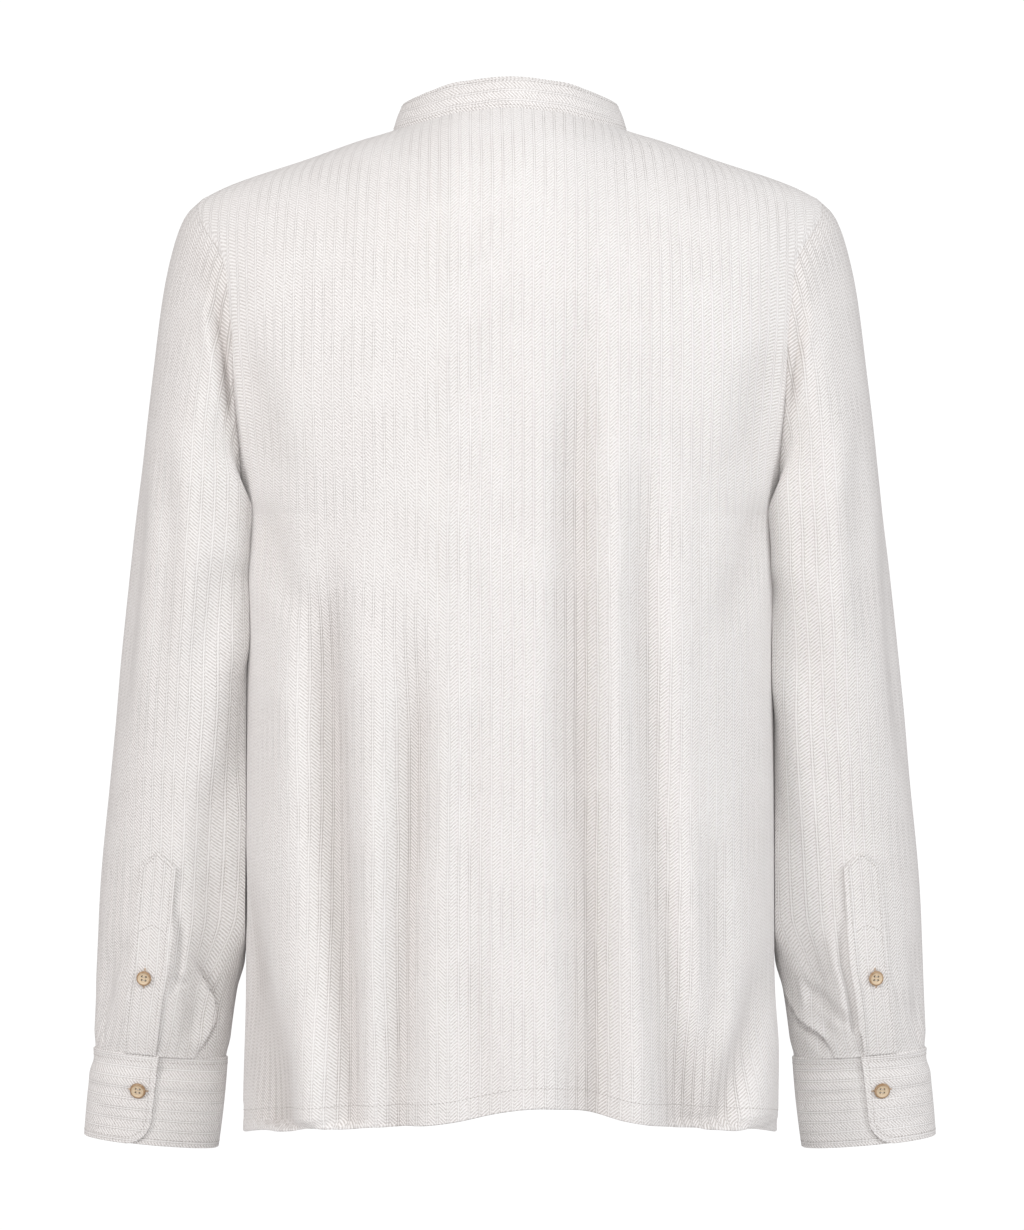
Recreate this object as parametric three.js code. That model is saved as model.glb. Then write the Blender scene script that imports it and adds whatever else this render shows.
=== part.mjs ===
// Band collar shirt, filled out as if worn, with nobody in it. Millimetres, +Z up.
// The back of the shirt faces +Y and the wearer's left is +X. The origin is the middle of the
// neck opening, level with the points where the neck meets the shoulders.
import * as THREE from "three";

// Cloth and seams
const clothWall = 1.6;
const bandWall = 2.4;
const hemWall = 2.4;
const seamHalfGap = 0.17;
const layerGap = 0.3;
const stripGap = 0.5;
const stripWall = 1.2;

// Body
const ridgeY = -6;
const sectionPower = 2.5;
const shoulderReach = 152;
const shoulderReachLoss = 12;
const tipX = 219;
const underarmZ = -270;
const hemLevel = -690;
const hemHalfWidth = 187;
const hemBand = 15;
const ventHeight = 18;
const ventHalfOpening = 1.1;

// Neck
const neckHalfWidth = 82;
const neckDepth = 55;
const frontRidgeDip = 42;
const bandHeight = 22;
const bandSideLoss = 2.5;
const bandLean = 12;
const bandSideLean = 8;
const bandCornerRadius = 8;
const bandRows = [0, 0.5, 1];

// Front closing
const overlap = 16;
const underInset = 2.9;
const bandUnderInset = 2.9;
const frontButtonTop = -92;
const frontButtonPitch = 88;
const frontButtonCount = 6;

// Cuff
const cuffHeight = 62;
const cuffCornerRadius = 18;
const cuffFlapAngle = 91;
const cuffUnderAngle = -304;
const cuffUnderInset = 3;
const cuffButtonAngle = 77.5;
const cuffButtonRise = 24.5;
const cuffRows = [0, 0.35, 0.7, 1];
const cuffFlapAngles = [cuffFlapAngle, 88, 84, 78, 70, 57, 43, 28, 14];
const cuffAngleStep = 16;

// Buttons
const cuffButtonRadius = 5.7;
const placketButtonRadius = 5.3;
const buttonHeight = 2.5;
const buttonSides = 14;

// Columns and rows of the walls
const neckColumns = 8;
const shoulderColumns = 9;
const armholeRows = 11;
const sleeveRows = 18;
const angleStep = 0.02;
const tuckColumn = 3;

// Half width of the body, and how far its back and front stand from the shoulder plane
const bodySections = [
  { z: -800, halfWidth: 187, back: 118, front: 118 },
  { z: -698, halfWidth: 187, back: 118, front: 118 },
  { z: -600, halfWidth: 185, back: 118, front: 116 },
  { z: -450, halfWidth: 184.5, back: 118, front: 118 },
  { z: -340, halfWidth: 185, back: 120.5, front: 124 },
  { z: -300, halfWidth: 185.8, back: 121, front: 126 },
  { z: -270, halfWidth: 187.5, back: 121, front: 128 },
  { z: -240, halfWidth: 194, back: 120.5, front: 130 },
  { z: -192, halfWidth: 208, back: 120, front: 131 },
  { z: -139, halfWidth: 222, back: 119, front: 132 },
  { z: -104, halfWidth: 227, back: 118, front: 131 },
  { z: -57, halfWidth: 235, back: 118, front: 130 },
  { z: 40, halfWidth: 236, back: 118, front: 130 },
];

// Height of the shoulder line over the distance from the middle
const shoulderLine = [
  { x: -35, z: 21.1 },
  { x: 0, z: 27 },
  { x: 35, z: 21.1 },
  { x: 52, z: 13.8 },
  { x: 66, z: 6.9 },
  { x: 82, z: -0.4 },
  { x: 104, z: -7 },
  { x: 144, z: -21 },
  { x: 187, z: -35 },
  { x: 204, z: -42 },
  { x: 219, z: -51 },
  { x: 228, z: -62 },
  { x: 240, z: -84 },
];

// How far round the body's section the armhole stands, over its turn from underarm to tip
const armholeShape = [
  { turn: 0, back: 0, front: 0 },
  { turn: 28, back: 0.31, front: 0.33 },
  { turn: 74, back: 0.546, front: 0.6 },
  { turn: 103, back: 0.63, front: 0.69 },
  { turn: 123, back: 0.63, front: 0.68 },
  { turn: 134, back: 0.6, front: 0.63 },
  { turn: 152, back: 0.52, front: 0.53 },
  { turn: 180, back: 0.482, front: 0.482 },
];

// Sleeve sections from the armhole to the cuff seam, for the wearer's left arm
const sleeveSections = [
  { share: 0, outerX: 219, outerZ: -51, innerX: 187.5, innerZ: -270, halfDepth: 70, centreY: -3 },
  { share: 0.02, outerX: 228, outerZ: -61, innerX: 187.9, innerZ: -272.5, halfDepth: 73, centreY: -3 },
  { share: 0.06, outerX: 236, outerZ: -82, innerX: 188.3, innerZ: -276, halfDepth: 75, centreY: -4 },
  { share: 0.12, outerX: 243, outerZ: -115, innerX: 188.2, innerZ: -282, halfDepth: 77, centreY: -4 },
  { share: 0.22, outerX: 250, outerZ: -172, innerX: 187.2, innerZ: -294, halfDepth: 77, centreY: -5 },
  { share: 0.34, outerX: 257.6, outerZ: -240, innerX: 186.5, innerZ: -315, halfDepth: 75, centreY: -7 },
  { share: 0.46, outerX: 265.3, outerZ: -310, innerX: 186, innerZ: -348, halfDepth: 71, centreY: -9 },
  { share: 0.58, outerX: 273.2, outerZ: -382, innerX: 185.6, innerZ: -397, halfDepth: 64, centreY: -12 },
  { share: 0.7, outerX: 281.3, outerZ: -456, innerX: 185.5, innerZ: -461, halfDepth: 56, centreY: -18 },
  { share: 0.82, outerX: 289.1, outerZ: -532, innerX: 186, innerZ: -535, halfDepth: 50, centreY: -25 },
  { share: 0.89, outerX: 291.6, outerZ: -580, innerX: 187.6, innerZ: -583, halfDepth: 46, centreY: -28 },
  { share: 0.92, outerX: 292.6, outerZ: -601, innerX: 193, innerZ: -604, halfDepth: 44, centreY: -30 },
  { share: 1, outerX: 295, outerZ: -645.5, innerX: 199.8, innerZ: -652.3, halfDepth: 33, centreY: -34 },
];
const cuffEnd = { outerX: 302, outerZ: -707, innerX: 206.7, innerZ: -716, halfDepth: 30, centreY: -37 };

// Long soft troughs of the body: places across it at three heights, where it starts, and its depth
const bodyFolds = [
  { side: 1, top: 112, middle: 112, low: 104, from: -330, depth: 8, width: 17 },
  { side: 1, top: 60, middle: 57, low: 70, from: -340, depth: 8, width: 16 },
  { side: 1, top: -48, middle: -44, low: -55, from: -170, depth: 10, width: 15 },
  { side: 1, top: -92, middle: -94, low: -115, from: -300, depth: 6, width: 17 },
  { side: -1, top: 78, middle: 84, low: 92, from: -250, depth: 8, width: 17 },
  { side: -1, top: 132, middle: 134, low: 138, from: -380, depth: 6, width: 15 },
  { side: -1, top: -70, middle: -74, low: -66, from: -280, depth: 8, width: 16 },
  { side: -1, top: -124, middle: -128, low: -134, from: -350, depth: 7, width: 17 },
];

// Hem height over the place across the body
const backHem = { side: -693, middle: -685, lift: 14, liftX: -21, liftWidth: 40 };
const frontHem = { side: -693, middle: -689, lift: 0, liftX: 0, liftWidth: 40 };

// Pleats and gathers of the sleeve above the cuff, by angle from the outer side towards the back
const sleeveFolds = [
  { angle: 122, from: 0.8, depth: 5, width: 9 },
  { angle: 28, from: 0.84, depth: 4, width: 10 },
  { angle: 232, from: 0.8, depth: 5, width: 11 },
  { angle: 300, from: 0.84, depth: 4, width: 11 },
];

// Sleeve placket: its two edges as angles, from its tip to the cuff seam
const placketStrip = {
  from: 0.775,
  tip: 0.79,
  to: 0.998,
  outerAngle: 68,
  innerAngle: 95,
  lowOuter: 60,
  lowInner: 89,
};
const placketButtonShare = 0.905;
const placketButtonAngle = 75.25;

const colours = {
  cloth: 0xeeebe8,
  clothShade: 0xe6e1de,
  button: 0xb8946c,
};

const clamp = (value, low, high) => Math.min(high, Math.max(low, value));
const radians = THREE.MathUtils.degToRad;
const ease = (value, from, to) => THREE.MathUtils.smoothstep(value, from, to);

// A smooth curve through one column of a table, which never swings past its rows
function curveOf(rows, key, column) {
  const x = rows.map((row) => row[key]);
  const y = rows.map((row) => row[column]);
  const slope = x.slice(1).map((next, i) => (y[i + 1] - y[i]) / (next - x[i]));
  const tangent = x.map((_, i) => {
    if (i === 0) return slope[0];
    if (i === x.length - 1) return slope[i - 1];
    if (slope[i - 1] * slope[i] <= 0) return 0;
    return (2 * slope[i - 1] * slope[i]) / (slope[i - 1] + slope[i]);
  });
  return (value) => {
    const at = clamp(value, x[0], x[x.length - 1]);
    let i = 0;
    while (i < x.length - 2 && at > x[i + 1]) i += 1;
    const span = x[i + 1] - x[i];
    const t = (at - x[i]) / span;
    const start = (1 + 2 * t) * (1 - t) * (1 - t) * y[i];
    const startTurn = t * (1 - t) * (1 - t) * span * tangent[i];
    const end = t * t * (3 - 2 * t) * y[i + 1];
    const endTurn = t * t * (t - 1) * span * tangent[i + 1];
    return start + startTurn + end + endTurn;
  };
}

const halfWidthAt = curveOf(bodySections, "z", "halfWidth");
const depthAt = { 1: curveOf(bodySections, "z", "back"), [-1]: curveOf(bodySections, "z", "front") };
const shoulderAt = curveOf(shoulderLine, "x", "z");
const armholeAt = { 1: curveOf(armholeShape, "turn", "back"), [-1]: curveOf(armholeShape, "turn", "front") };
const tipZ = shoulderAt(tipX);

// Height of the fold line over the shoulders, which dips behind the front of the neck
function ridgeHeight(side, x) {
  const across = Math.abs(x);
  if (side > 0 || across >= neckHalfWidth) return shoulderAt(across);
  const inner = 1 - (across / neckHalfWidth) ** 2;
  return shoulderAt(neckHalfWidth) - frontRidgeDip * inner * inner;
}

// How the section closes towards the side, from 1 in the middle to 0 at the side seam
function sideClosing(x, z) {
  const share = clamp(Math.abs(x) / halfWidthAt(z), 0, 1);
  return (1 - share ** sectionPower) ** (1 / sectionPower);
}

// How the section closes over the shoulder, from 0 on the ridge to 1 below the shoulder blades
function shoulderClosing(side, x, z) {
  const reach = shoulderReach - shoulderReachLoss * (x / tipX) ** 2;
  const drop = clamp((ridgeHeight(side, x) - z) / reach, 0, 1);
  return Math.sqrt(1 - (1 - drop) ** 2);
}

// Inward push of the long folds, which fades at the side seams
function foldPush(side, x, z) {
  let push = 0;
  for (const fold of bodyFolds.filter((one) => one.side === side)) {
    const down = clamp((fold.from - z) / (fold.from - hemLevel), 0, 1);
    const upper = THREE.MathUtils.lerp(fold.top, fold.middle, ease(down, 0, 0.5));
    const centre = THREE.MathUtils.lerp(upper, fold.low, ease(down, 0.4, 1));
    push += fold.depth * ease(down, 0, 0.8) * Math.exp(-0.5 * ((x - centre) / fold.width) ** 2);
  }
  return push * ease(sideClosing(x, z), 0.15, 0.55);
}

function bodyPoint(side, x, z) {
  const depth = depthAt[side](z) * shoulderClosing(side, x, z) * sideClosing(x, z);
  return new THREE.Vector3(x, ridgeY + side * Math.max(0, depth - foldPush(side, x, z)), z);
}

// A point of the neckline, an ellipse in plan that lies on the body's surface
function neckPoint(side, x) {
  const depth = neckDepth * Math.sqrt(Math.max(0, 1 - (x / neckHalfWidth) ** 2));
  const ridge = ridgeHeight(side, x);
  const reach = shoulderReach - shoulderReachLoss * (x / tipX) ** 2;
  const share = depth / (depthAt[side](ridge) * sideClosing(x, ridge));
  return new THREE.Vector3(x, ridgeY + side * depth, ridge - reach * (1 - Math.sqrt(1 - share * share)));
}

// A point of the armhole, by its turn from the underarm (0) to the shoulder tip (180)
function armholePoint(side, turn) {
  const z = underarmZ + ((tipZ - underarmZ) * (1 - Math.cos(radians(turn)))) / 2;
  const round = armholeAt[side](turn);
  let x = halfWidthAt(z) * (1 - round ** sectionPower) ** (1 / sectionPower);
  if (turn >= 180) x = tipX;
  return bodyPoint(side, x, z);
}

function hemHeight(hem, x) {
  const across = clamp(Math.abs(x) / hemHalfWidth, 0, 1);
  const bump = hem.lift * Math.exp(-0.5 * ((x - hem.liftX) / hem.liftWidth) ** 2);
  return THREE.MathUtils.lerp(hem.middle, hem.side, across ** 3) + bump;
}

// Shares across half a panel: the first ones meet the neckline, the others the shoulder line
function panelShares() {
  const edge = Math.asin(tipX / halfWidthAt(tipZ));
  const shares = [];
  for (let k = 0; k <= neckColumns; k += 1) {
    const x = neckHalfWidth * Math.sin((Math.PI / 2) * (k / neckColumns));
    shares.push(Math.asin((x * Math.sin(edge)) / tipX) / edge);
  }
  const neckShare = shares[neckColumns];
  for (let k = 1; k <= shoulderColumns; k += 1) {
    shares.push(neckShare + ((1 - neckShare) * k) / shoulderColumns);
  }
  return shares;
}

const halfShares = panelShares();
const overlapShare = halfShares[1];
const lowRows = [0, 0.02, 0.036, 0.046, 0.14, 0.24, 0.35, 0.47, 0.59, 0.71, 0.82, 0.92, 1];

// One row of a panel below the underarm, at a share of the way up from the hem
function lowRow(side, hem, shares, rise) {
  return shares.map((share) => {
    const turn = Math.sin((Math.PI / 2) * share);
    const bottom = hemHeight(hem, halfWidthAt(hem.side) * turn);
    const z = THREE.MathUtils.lerp(bottom, underarmZ, rise);
    return bodyPoint(side, halfWidthAt(z) * turn, z);
  });
}

// One row of a panel beside the armhole, at a turn of the armhole
function highRow(side, shares, turn) {
  const edge = armholePoint(side, turn);
  const bend = Math.asin(clamp(edge.x / halfWidthAt(edge.z), 0, 1));
  const topAt = (x) => {
    const across = Math.abs(x);
    return across < neckHalfWidth ? neckPoint(side, x).z : shoulderAt(across);
  };
  const rise = (edge.z - underarmZ) / (topAt(edge.x) - underarmZ);
  return shares.map((share) => {
    const x = (edge.x * Math.sin(share * bend)) / Math.sin(bend);
    const z = THREE.MathUtils.lerp(underarmZ, topAt(x), rise);
    if (turn >= 180 && Math.abs(x) < neckHalfWidth) return neckPoint(side, x);
    const onSeam = Math.abs(Math.abs(share) - 1) < 1e-9;
    if (onSeam) return new THREE.Vector3(Math.sign(share) * edge.x, edge.y, edge.z);
    return bodyPoint(side, x, z);
  });
}

function panelGrid(side, hem, shares) {
  const rows = lowRows.map((rise) => lowRow(side, hem, shares, rise));
  for (let k = 1; k <= armholeRows; k += 1) {
    rows.push(highRow(side, shares, (180 * k) / armholeRows));
  }
  return rows;
}

// Normals of a grid of points, turned away from its middle
function gridNormals(grid, wraps) {
  const rows = grid.length;
  const columns = grid[0].length;
  const middle = new THREE.Vector3();
  grid.flat().forEach((point) => middle.addScaledVector(point, 1 / (rows * columns)));
  const columnAt = (j) => (wraps ? (j + columns) % columns : clamp(j, 0, columns - 1));
  const at = (i, j) => grid[clamp(i, 0, rows - 1)][columnAt(j)];
  let outward = 0;
  const normals = grid.map((row, i) =>
    row.map((point, j) => {
      const up = at(i + 1, j).clone().sub(at(i - 1, j));
      const round = at(i, j + 1).clone().sub(at(i, j - 1));
      const normal = round.cross(up).normalize();
      outward += normal.dot(point.clone().sub(middle));
      return normal;
    }),
  );
  if (outward < 0) normals.flat().forEach((normal) => normal.negate());
  return normals;
}

// A closed wall: the grid is its outer face, and its inner face stands off by the thickness
function wallGeometry(grid, normals, thickness, wraps = false) {
  const rows = grid.length;
  const columns = grid[0].length;
  const thicknessAt = typeof thickness === "function" ? thickness : () => thickness;
  const positions = [];
  const push = (point) => positions.push(point.x, point.y, point.z);
  grid.forEach((row) => row.forEach(push));
  grid.forEach((row, i) =>
    row.forEach((point, j) => push(point.clone().addScaledVector(normals[i][j], -thicknessAt(i, j)))),
  );
  const outer = (i, j) => i * columns + (j % columns);
  const inner = (i, j) => rows * columns + outer(i, j);
  const faces = [];
  const quad = (a, b, c, d) => faces.push(a, b, c, a, c, d);
  const lastColumn = wraps ? columns : columns - 1;
  for (let i = 0; i < rows - 1; i += 1) {
    for (let j = 0; j < lastColumn; j += 1) {
      quad(outer(i, j), outer(i, j + 1), outer(i + 1, j + 1), outer(i + 1, j));
      quad(inner(i, j), inner(i + 1, j), inner(i + 1, j + 1), inner(i, j + 1));
    }
    if (!wraps) {
      quad(outer(i, 0), outer(i + 1, 0), inner(i + 1, 0), inner(i, 0));
      quad(outer(i, lastColumn), inner(i, lastColumn), inner(i + 1, lastColumn), outer(i + 1, lastColumn));
    }
  }
  for (let j = 0; j < lastColumn; j += 1) {
    quad(outer(0, j), inner(0, j), inner(0, j + 1), outer(0, j + 1));
    quad(outer(rows - 1, j), outer(rows - 1, j + 1), inner(rows - 1, j + 1), inner(rows - 1, j));
  }
  const geometry = new THREE.BufferGeometry();
  geometry.setAttribute("position", new THREE.Float32BufferAttribute(positions, 3));
  geometry.setIndex(faces);
  return facingOut(geometry);
}

// Turns every face round where the faces enclose a negative volume
function facingOut(geometry) {
  const position = geometry.getAttribute("position");
  const index = geometry.index.array;
  const corner = [new THREE.Vector3(), new THREE.Vector3(), new THREE.Vector3()];
  let volume = 0;
  for (let i = 0; i < index.length; i += 3) {
    corner.forEach((point, k) => point.fromBufferAttribute(position, index[i + k]));
    volume += corner[0].dot(corner[1].clone().cross(corner[2]));
  }
  if (volume < 0) {
    for (let i = 0; i < index.length; i += 3) {
      [index[i + 1], index[i + 2]] = [index[i + 2], index[i + 1]];
    }
  }
  return geometry;
}

const flip = (vector, sign) => new THREE.Vector3(vector.x * sign, vector.y, vector.z);
const turned = (grid, sign) => grid.map((row) => row.map((vector) => flip(vector, sign)));

// Sleeve section at a share of the way down, as the centre and half axes of its ring
const sleeveCurve = {};
for (const column of ["outerX", "outerZ", "innerX", "innerZ", "halfDepth", "centreY"]) {
  sleeveCurve[column] = curveOf(sleeveSections, "share", column);
}

function sleeveSection(share) {
  return Object.fromEntries(Object.entries(sleeveCurve).map(([column, at]) => [column, at(share)]));
}

function ringPoint(section, angle, inset = 0) {
  const halfX = (section.outerX - section.innerX) / 2;
  const halfZ = (section.outerZ - section.innerZ) / 2;
  const length = Math.hypot(halfX, halfZ);
  const shrink = (length - inset) / length;
  const x = (section.outerX + section.innerX) / 2 + halfX * shrink * Math.cos(angle);
  const y = section.centreY + (section.halfDepth - inset) * Math.sin(angle);
  const z = (section.outerZ + section.innerZ) / 2 + halfZ * shrink * Math.cos(angle);
  return new THREE.Vector3(x, y, z);
}

function sleevePoint(share, angle) {
  const degrees = THREE.MathUtils.euclideanModulo(THREE.MathUtils.radToDeg(angle), 360);
  let inset = 0;
  for (const fold of sleeveFolds) {
    const strength = ease(share, fold.from, fold.from + 0.12) * (1 - ease(share, 0.96, 1));
    inset += fold.depth * strength * Math.exp(-0.5 * ((degrees - fold.angle) / fold.width) ** 2);
  }
  const point = ringPoint(sleeveSection(share), angle, inset);
  const hold = 1 - ease(share, 0, 0.3);
  if (hold > 0) {
    const side = degrees <= 180 ? 1 : -1;
    const turn = degrees <= 180 ? 180 - degrees : degrees - 180;
    const first = ringPoint(sleeveSection(0), angle);
    point.addScaledVector(armholePoint(side, turn).sub(first), hold);
  }
  return point;
}

const sleeveAngles = Array.from({ length: 2 * armholeRows }, (_, k) => (Math.PI * k) / armholeRows);
const sleeveShares = Array.from({ length: sleeveRows + 1 }, (_, k) => (k / sleeveRows) ** 1.25);
const sleeveGrid = sleeveShares.map((share) => sleeveAngles.map((angle) => sleevePoint(share, angle)));

const backShares = [...halfShares.slice(1).reverse().map((share) => -share), ...halfShares];
const frontShares = [-overlapShare, ...halfShares];
const backGrid = panelGrid(1, backHem, backShares);
const leftFrontGrid = panelGrid(-1, frontHem, frontShares);
const rightFrontGrid = turned(panelGrid(-1, frontHem, frontShares), -1);

const backNormals = gridNormals(backGrid, false);
const sleeveNormals = gridNormals(sleeveGrid, true);
const lastLow = lowRows.length - 1;

function frontNormals(grid) {
  const normals = gridNormals(grid, false);
  const facing = normals.flat().reduce((sum, normal) => sum - normal.y, 0);
  if (facing < 0) normals.flat().forEach((normal) => normal.negate());
  return normals;
}

// The armhole seam's normals, shared by the panels and the sleeve so that their ends are parallel
function seamNormal(turnIndex, side) {
  const column = side > 0 ? armholeRows - turnIndex : (armholeRows + turnIndex) % (2 * armholeRows);
  const body = (side > 0 ? backNormals : leftNormals)[lastLow + turnIndex].at(-1);
  const normal = body.clone().add(sleeveNormals[0][column]);
  const atEnds = turnIndex === 0 || turnIndex === armholeRows;
  if (atEnds) normal.y = 0;
  if (turnIndex === 0) normal.set(0, 0, -1);
  return { column, normal: normal.normalize() };
}

const leftNormals = frontNormals(leftFrontGrid);
const seams = [];
for (const side of [1, -1]) {
  for (let k = 0; k <= armholeRows; k += 1) {
    seams.push({ side, row: lastLow + k, ...seamNormal(k, side) });
  }
}

// Sets the normals along a panel's seams, and moves its edges off the seam planes
function finishPanel(grid, normals, side, edges) {
  for (const { column, sign } of edges) {
    normals.forEach((row, i) => {
      if (i < lastLow) {
        row.at(column).y = 0;
        row.at(column).normalize();
      }
    });
    for (const seam of seams.filter((one) => one.side === side)) {
      normals[seam.row][column < 0 ? grid[0].length - 1 : column].copy(seam.normal).x *= sign;
      grid[seam.row].at(column).x -= sign * seamHalfGap;
    }
    grid.forEach((row, i) => {
      const height = row.at(column).z - grid[0].at(column).z;
      if (i < lastLow && height < ventHeight) row.at(column).y += side * ventHalfOpening;
    });
  }
  normals.at(-1).forEach((normal, j) => {
    if (Math.abs(grid.at(-1)[j].x) >= neckHalfWidth - 1e-6) {
      normal.y = 0;
      normal.normalize();
    }
  });
  grid.flat().forEach((point) => {
    point.y += side * seamHalfGap;
  });
}

// The right front passes behind the left one at the middle
function tuckUnder(grid, normals) {
  grid.forEach((row, i) =>
    row.forEach((point, j) => {
      const share = frontShares[j];
      const tuck = 1 - ease(share, overlapShare, halfShares[tuckColumn]);
      if (share < halfShares[tuckColumn]) point.addScaledVector(normals[i][j], -underInset * tuck);
    }),
  );
}

const rightNormals = frontNormals(rightFrontGrid);
finishPanel(backGrid, backNormals, 1, [{ column: -1, sign: 1 }, { column: 0, sign: -1 }]);
finishPanel(leftFrontGrid, leftNormals, -1, [{ column: -1, sign: 1 }]);
finishPanel(rightFrontGrid, rightNormals, -1, [{ column: -1, sign: -1 }]);
tuckUnder(rightFrontGrid, rightNormals);
for (const seam of seams) {
  sleeveNormals[0][seam.column].copy(seam.normal);
}
sleeveGrid[0].forEach((point) => {
  point.x += seamHalfGap;
});

// Cloth is doubled at the hem
const hemRows = lowRows.filter((rise) => rise * (underarmZ - hemLevel) <= hemBand + 1).length;
const panelWall = (i) => (i < hemRows ? hemWall : clothWall);

const shirt = new THREE.Group();
shirt.name = "band_collar_shirt";

function clothMaterial(colour) {
  return new THREE.MeshStandardMaterial({ color: colour, roughness: 0.9, metalness: 0 });
}

function addMesh(name, geometry, material) {
  const mesh = new THREE.Mesh(geometry, material);
  mesh.name = name;
  shirt.add(mesh);
  return mesh;
}

addMesh("back_panel", wallGeometry(backGrid, backNormals, panelWall), clothMaterial(colours.cloth));
addMesh("front_left", wallGeometry(leftFrontGrid, leftNormals, panelWall), clothMaterial(colours.cloth));
addMesh("front_right", wallGeometry(rightFrontGrid, rightNormals, panelWall), clothMaterial(colours.cloth));

// Front placket: the left front's own points about the middle, moved out
const placketColumns = [0, 1, 2];
const placketNormals = leftNormals.map((row) => placketColumns.map((j) => row[j]));
const placketGrid = leftFrontGrid.map((row, i) =>
  placketColumns.map((j) => row[j].clone().addScaledVector(leftNormals[i][j], layerGap + stripWall)),
);
addMesh("front_placket", wallGeometry(placketGrid, placketNormals, stripWall), clothMaterial(colours.cloth));

// Collar band: it stands on the neckline, leans in and laps over itself at the front
function bandStations() {
  const stations = [];
  const along = (side, x, rest = {}) => stations.push({ side, x, drop: 0, under: 0, ...rest });
  const corner = (away) => {
    const left = clamp(bandCornerRadius - away, 0, bandCornerRadius);
    return bandCornerRadius - Math.sqrt(bandCornerRadius ** 2 - left ** 2);
  };
  const ends = [0, 2.5, 7];
  const neckX = (k) => neckHalfWidth * Math.sin((Math.PI / 2) * (k / neckColumns));
  for (const away of ends) along(-1, away - overlap, { drop: corner(away) });
  for (let k = 0; k <= neckColumns; k += 1) along(-1, neckX(k));
  for (let k = neckColumns - 1; k >= -neckColumns; k -= 1) along(1, neckX(k));
  for (let k = neckColumns - 1; k >= 0; k -= 1) {
    along(-1, -neckX(k), { under: 1 - ease(k, 1, 4) });
  }
  for (const away of ends.slice().reverse()) along(-1, overlap - away, { drop: corner(away), under: 1 });
  return stations;
}

// The front panels' top edge is straight between the middle and the placket's edges
function frontEdgePoint(x) {
  const side = Math.sign(x) * neckHalfWidth * Math.sin(Math.PI / 2 / neckColumns);
  return neckPoint(-1, 0).lerp(neckPoint(-1, side), Math.abs(x / (side || 1)));
}

function bandGrid() {
  const stations = bandStations();
  const bases = stations.map((one) => {
    const onOverlap = one.side < 0 && Math.abs(one.x) < overlap;
    return onOverlap ? frontEdgePoint(one.x) : neckPoint(one.side, one.x);
  });
  const rows = bandRows.map(() => []);
  const normalRows = bandRows.map(() => []);
  stations.forEach((one, i) => {
    const across = one.x / neckHalfWidth;
    const lean = radians(bandLean + bandSideLean * across ** 2);
    const height = bandHeight - bandSideLoss * across ** 6 - one.drop;
    const before = bases[Math.max(0, i - 1)];
    const after = bases[Math.min(bases.length - 1, i + 1)];
    const tangent = after.clone().sub(before).normalize();
    const plan = new THREE.Vector3(bases[i].x, bases[i].y - ridgeY, 0);
    const outward = new THREE.Vector3(plan.x / neckHalfWidth ** 2, plan.y / neckDepth ** 2, 0).normalize();
    const up = new THREE.Vector3(0, 0, 1).addScaledVector(tangent, -tangent.z).normalize();
    outward.addScaledVector(tangent, -outward.dot(tangent)).normalize();
    const rise = up.clone().multiplyScalar(Math.cos(lean)).addScaledVector(outward, -Math.sin(lean));
    const normal = outward.clone().multiplyScalar(Math.cos(lean)).addScaledVector(up, Math.sin(lean));
    const base = bases[i].clone().addScaledVector(rise, layerGap);
    base.addScaledVector(normal, -bandUnderInset * one.under);
    base.y += one.side * seamHalfGap;
    bandRows.forEach((share, row) => {
      rows[row].push(base.clone().addScaledVector(rise, height * share));
      normalRows[row].push(normal.clone());
    });
  });
  return { rows, normalRows };
}

const band = bandGrid();
addMesh("collar_band", wallGeometry(band.rows, band.normalRows, bandWall), clothMaterial(colours.cloth));

// Cuff: a strip that starts at the flap's edge, goes round by the outer side and ends under the flap
function cuffSection(down) {
  const top = sleeveSection(1);
  const section = {};
  for (const column of Object.keys(top)) {
    section[column] = THREE.MathUtils.lerp(top[column], cuffEnd[column], down);
  }
  return section;
}

const cuffAngles = [...cuffFlapAngles];
for (let angle = 0; angle >= cuffUnderAngle; angle -= cuffAngleStep) cuffAngles.push(angle);

function cuffGrid() {
  const stations = cuffAngles.map((degrees) => {
    const under = ease(-degrees, 190, 255);
    return { angle: radians(degrees), inset: cuffUnderInset * under };
  });
  const edge = ringPoint(cuffSection(1), radians(cuffFlapAngle));
  const rows = cuffRows.map((down) =>
    stations.map((one, i) => {
      const flat = ringPoint(cuffSection(1), one.angle);
      const away = i < cuffFlapAngles.length ? flat.distanceTo(edge) : cuffCornerRadius;
      const left = clamp(cuffCornerRadius - away, 0, cuffCornerRadius);
      const lift = (cuffCornerRadius - Math.sqrt(cuffCornerRadius ** 2 - left ** 2)) / cuffHeight;
      const start = layerGap / cuffHeight;
      return ringPoint(cuffSection(start + (1 - start - lift) * down), one.angle, one.inset);
    }),
  );
  const normals = rows.map((row, i) =>
    row.map((point, j) => {
      const next = stations[Math.min(j + 1, stations.length - 1)];
      const last = stations[Math.max(j - 1, 0)];
      const section = cuffSection(cuffRows[i]);
      const ahead = ringPoint(section, next.angle, next.inset);
      const behind = ringPoint(section, last.angle, last.inset);
      const top = ringPoint(cuffSection(0), stations[j].angle);
      const down = ringPoint(cuffSection(1), stations[j].angle).sub(top);
      return ahead.sub(behind).cross(down).normalize();
    }),
  );
  const middle = cuffSection(0.5);
  const centre = ringPoint(middle, 0).add(ringPoint(middle, Math.PI)).multiplyScalar(0.5);
  const outward = rows[1].map((point, j) => normals[1][j].dot(point.clone().sub(centre)));
  const facing = outward.reduce((sum, value) => sum + value, 0);
  if (facing < 0) normals.flat().forEach((normal) => normal.negate());
  return { rows, normals };
}

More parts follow.
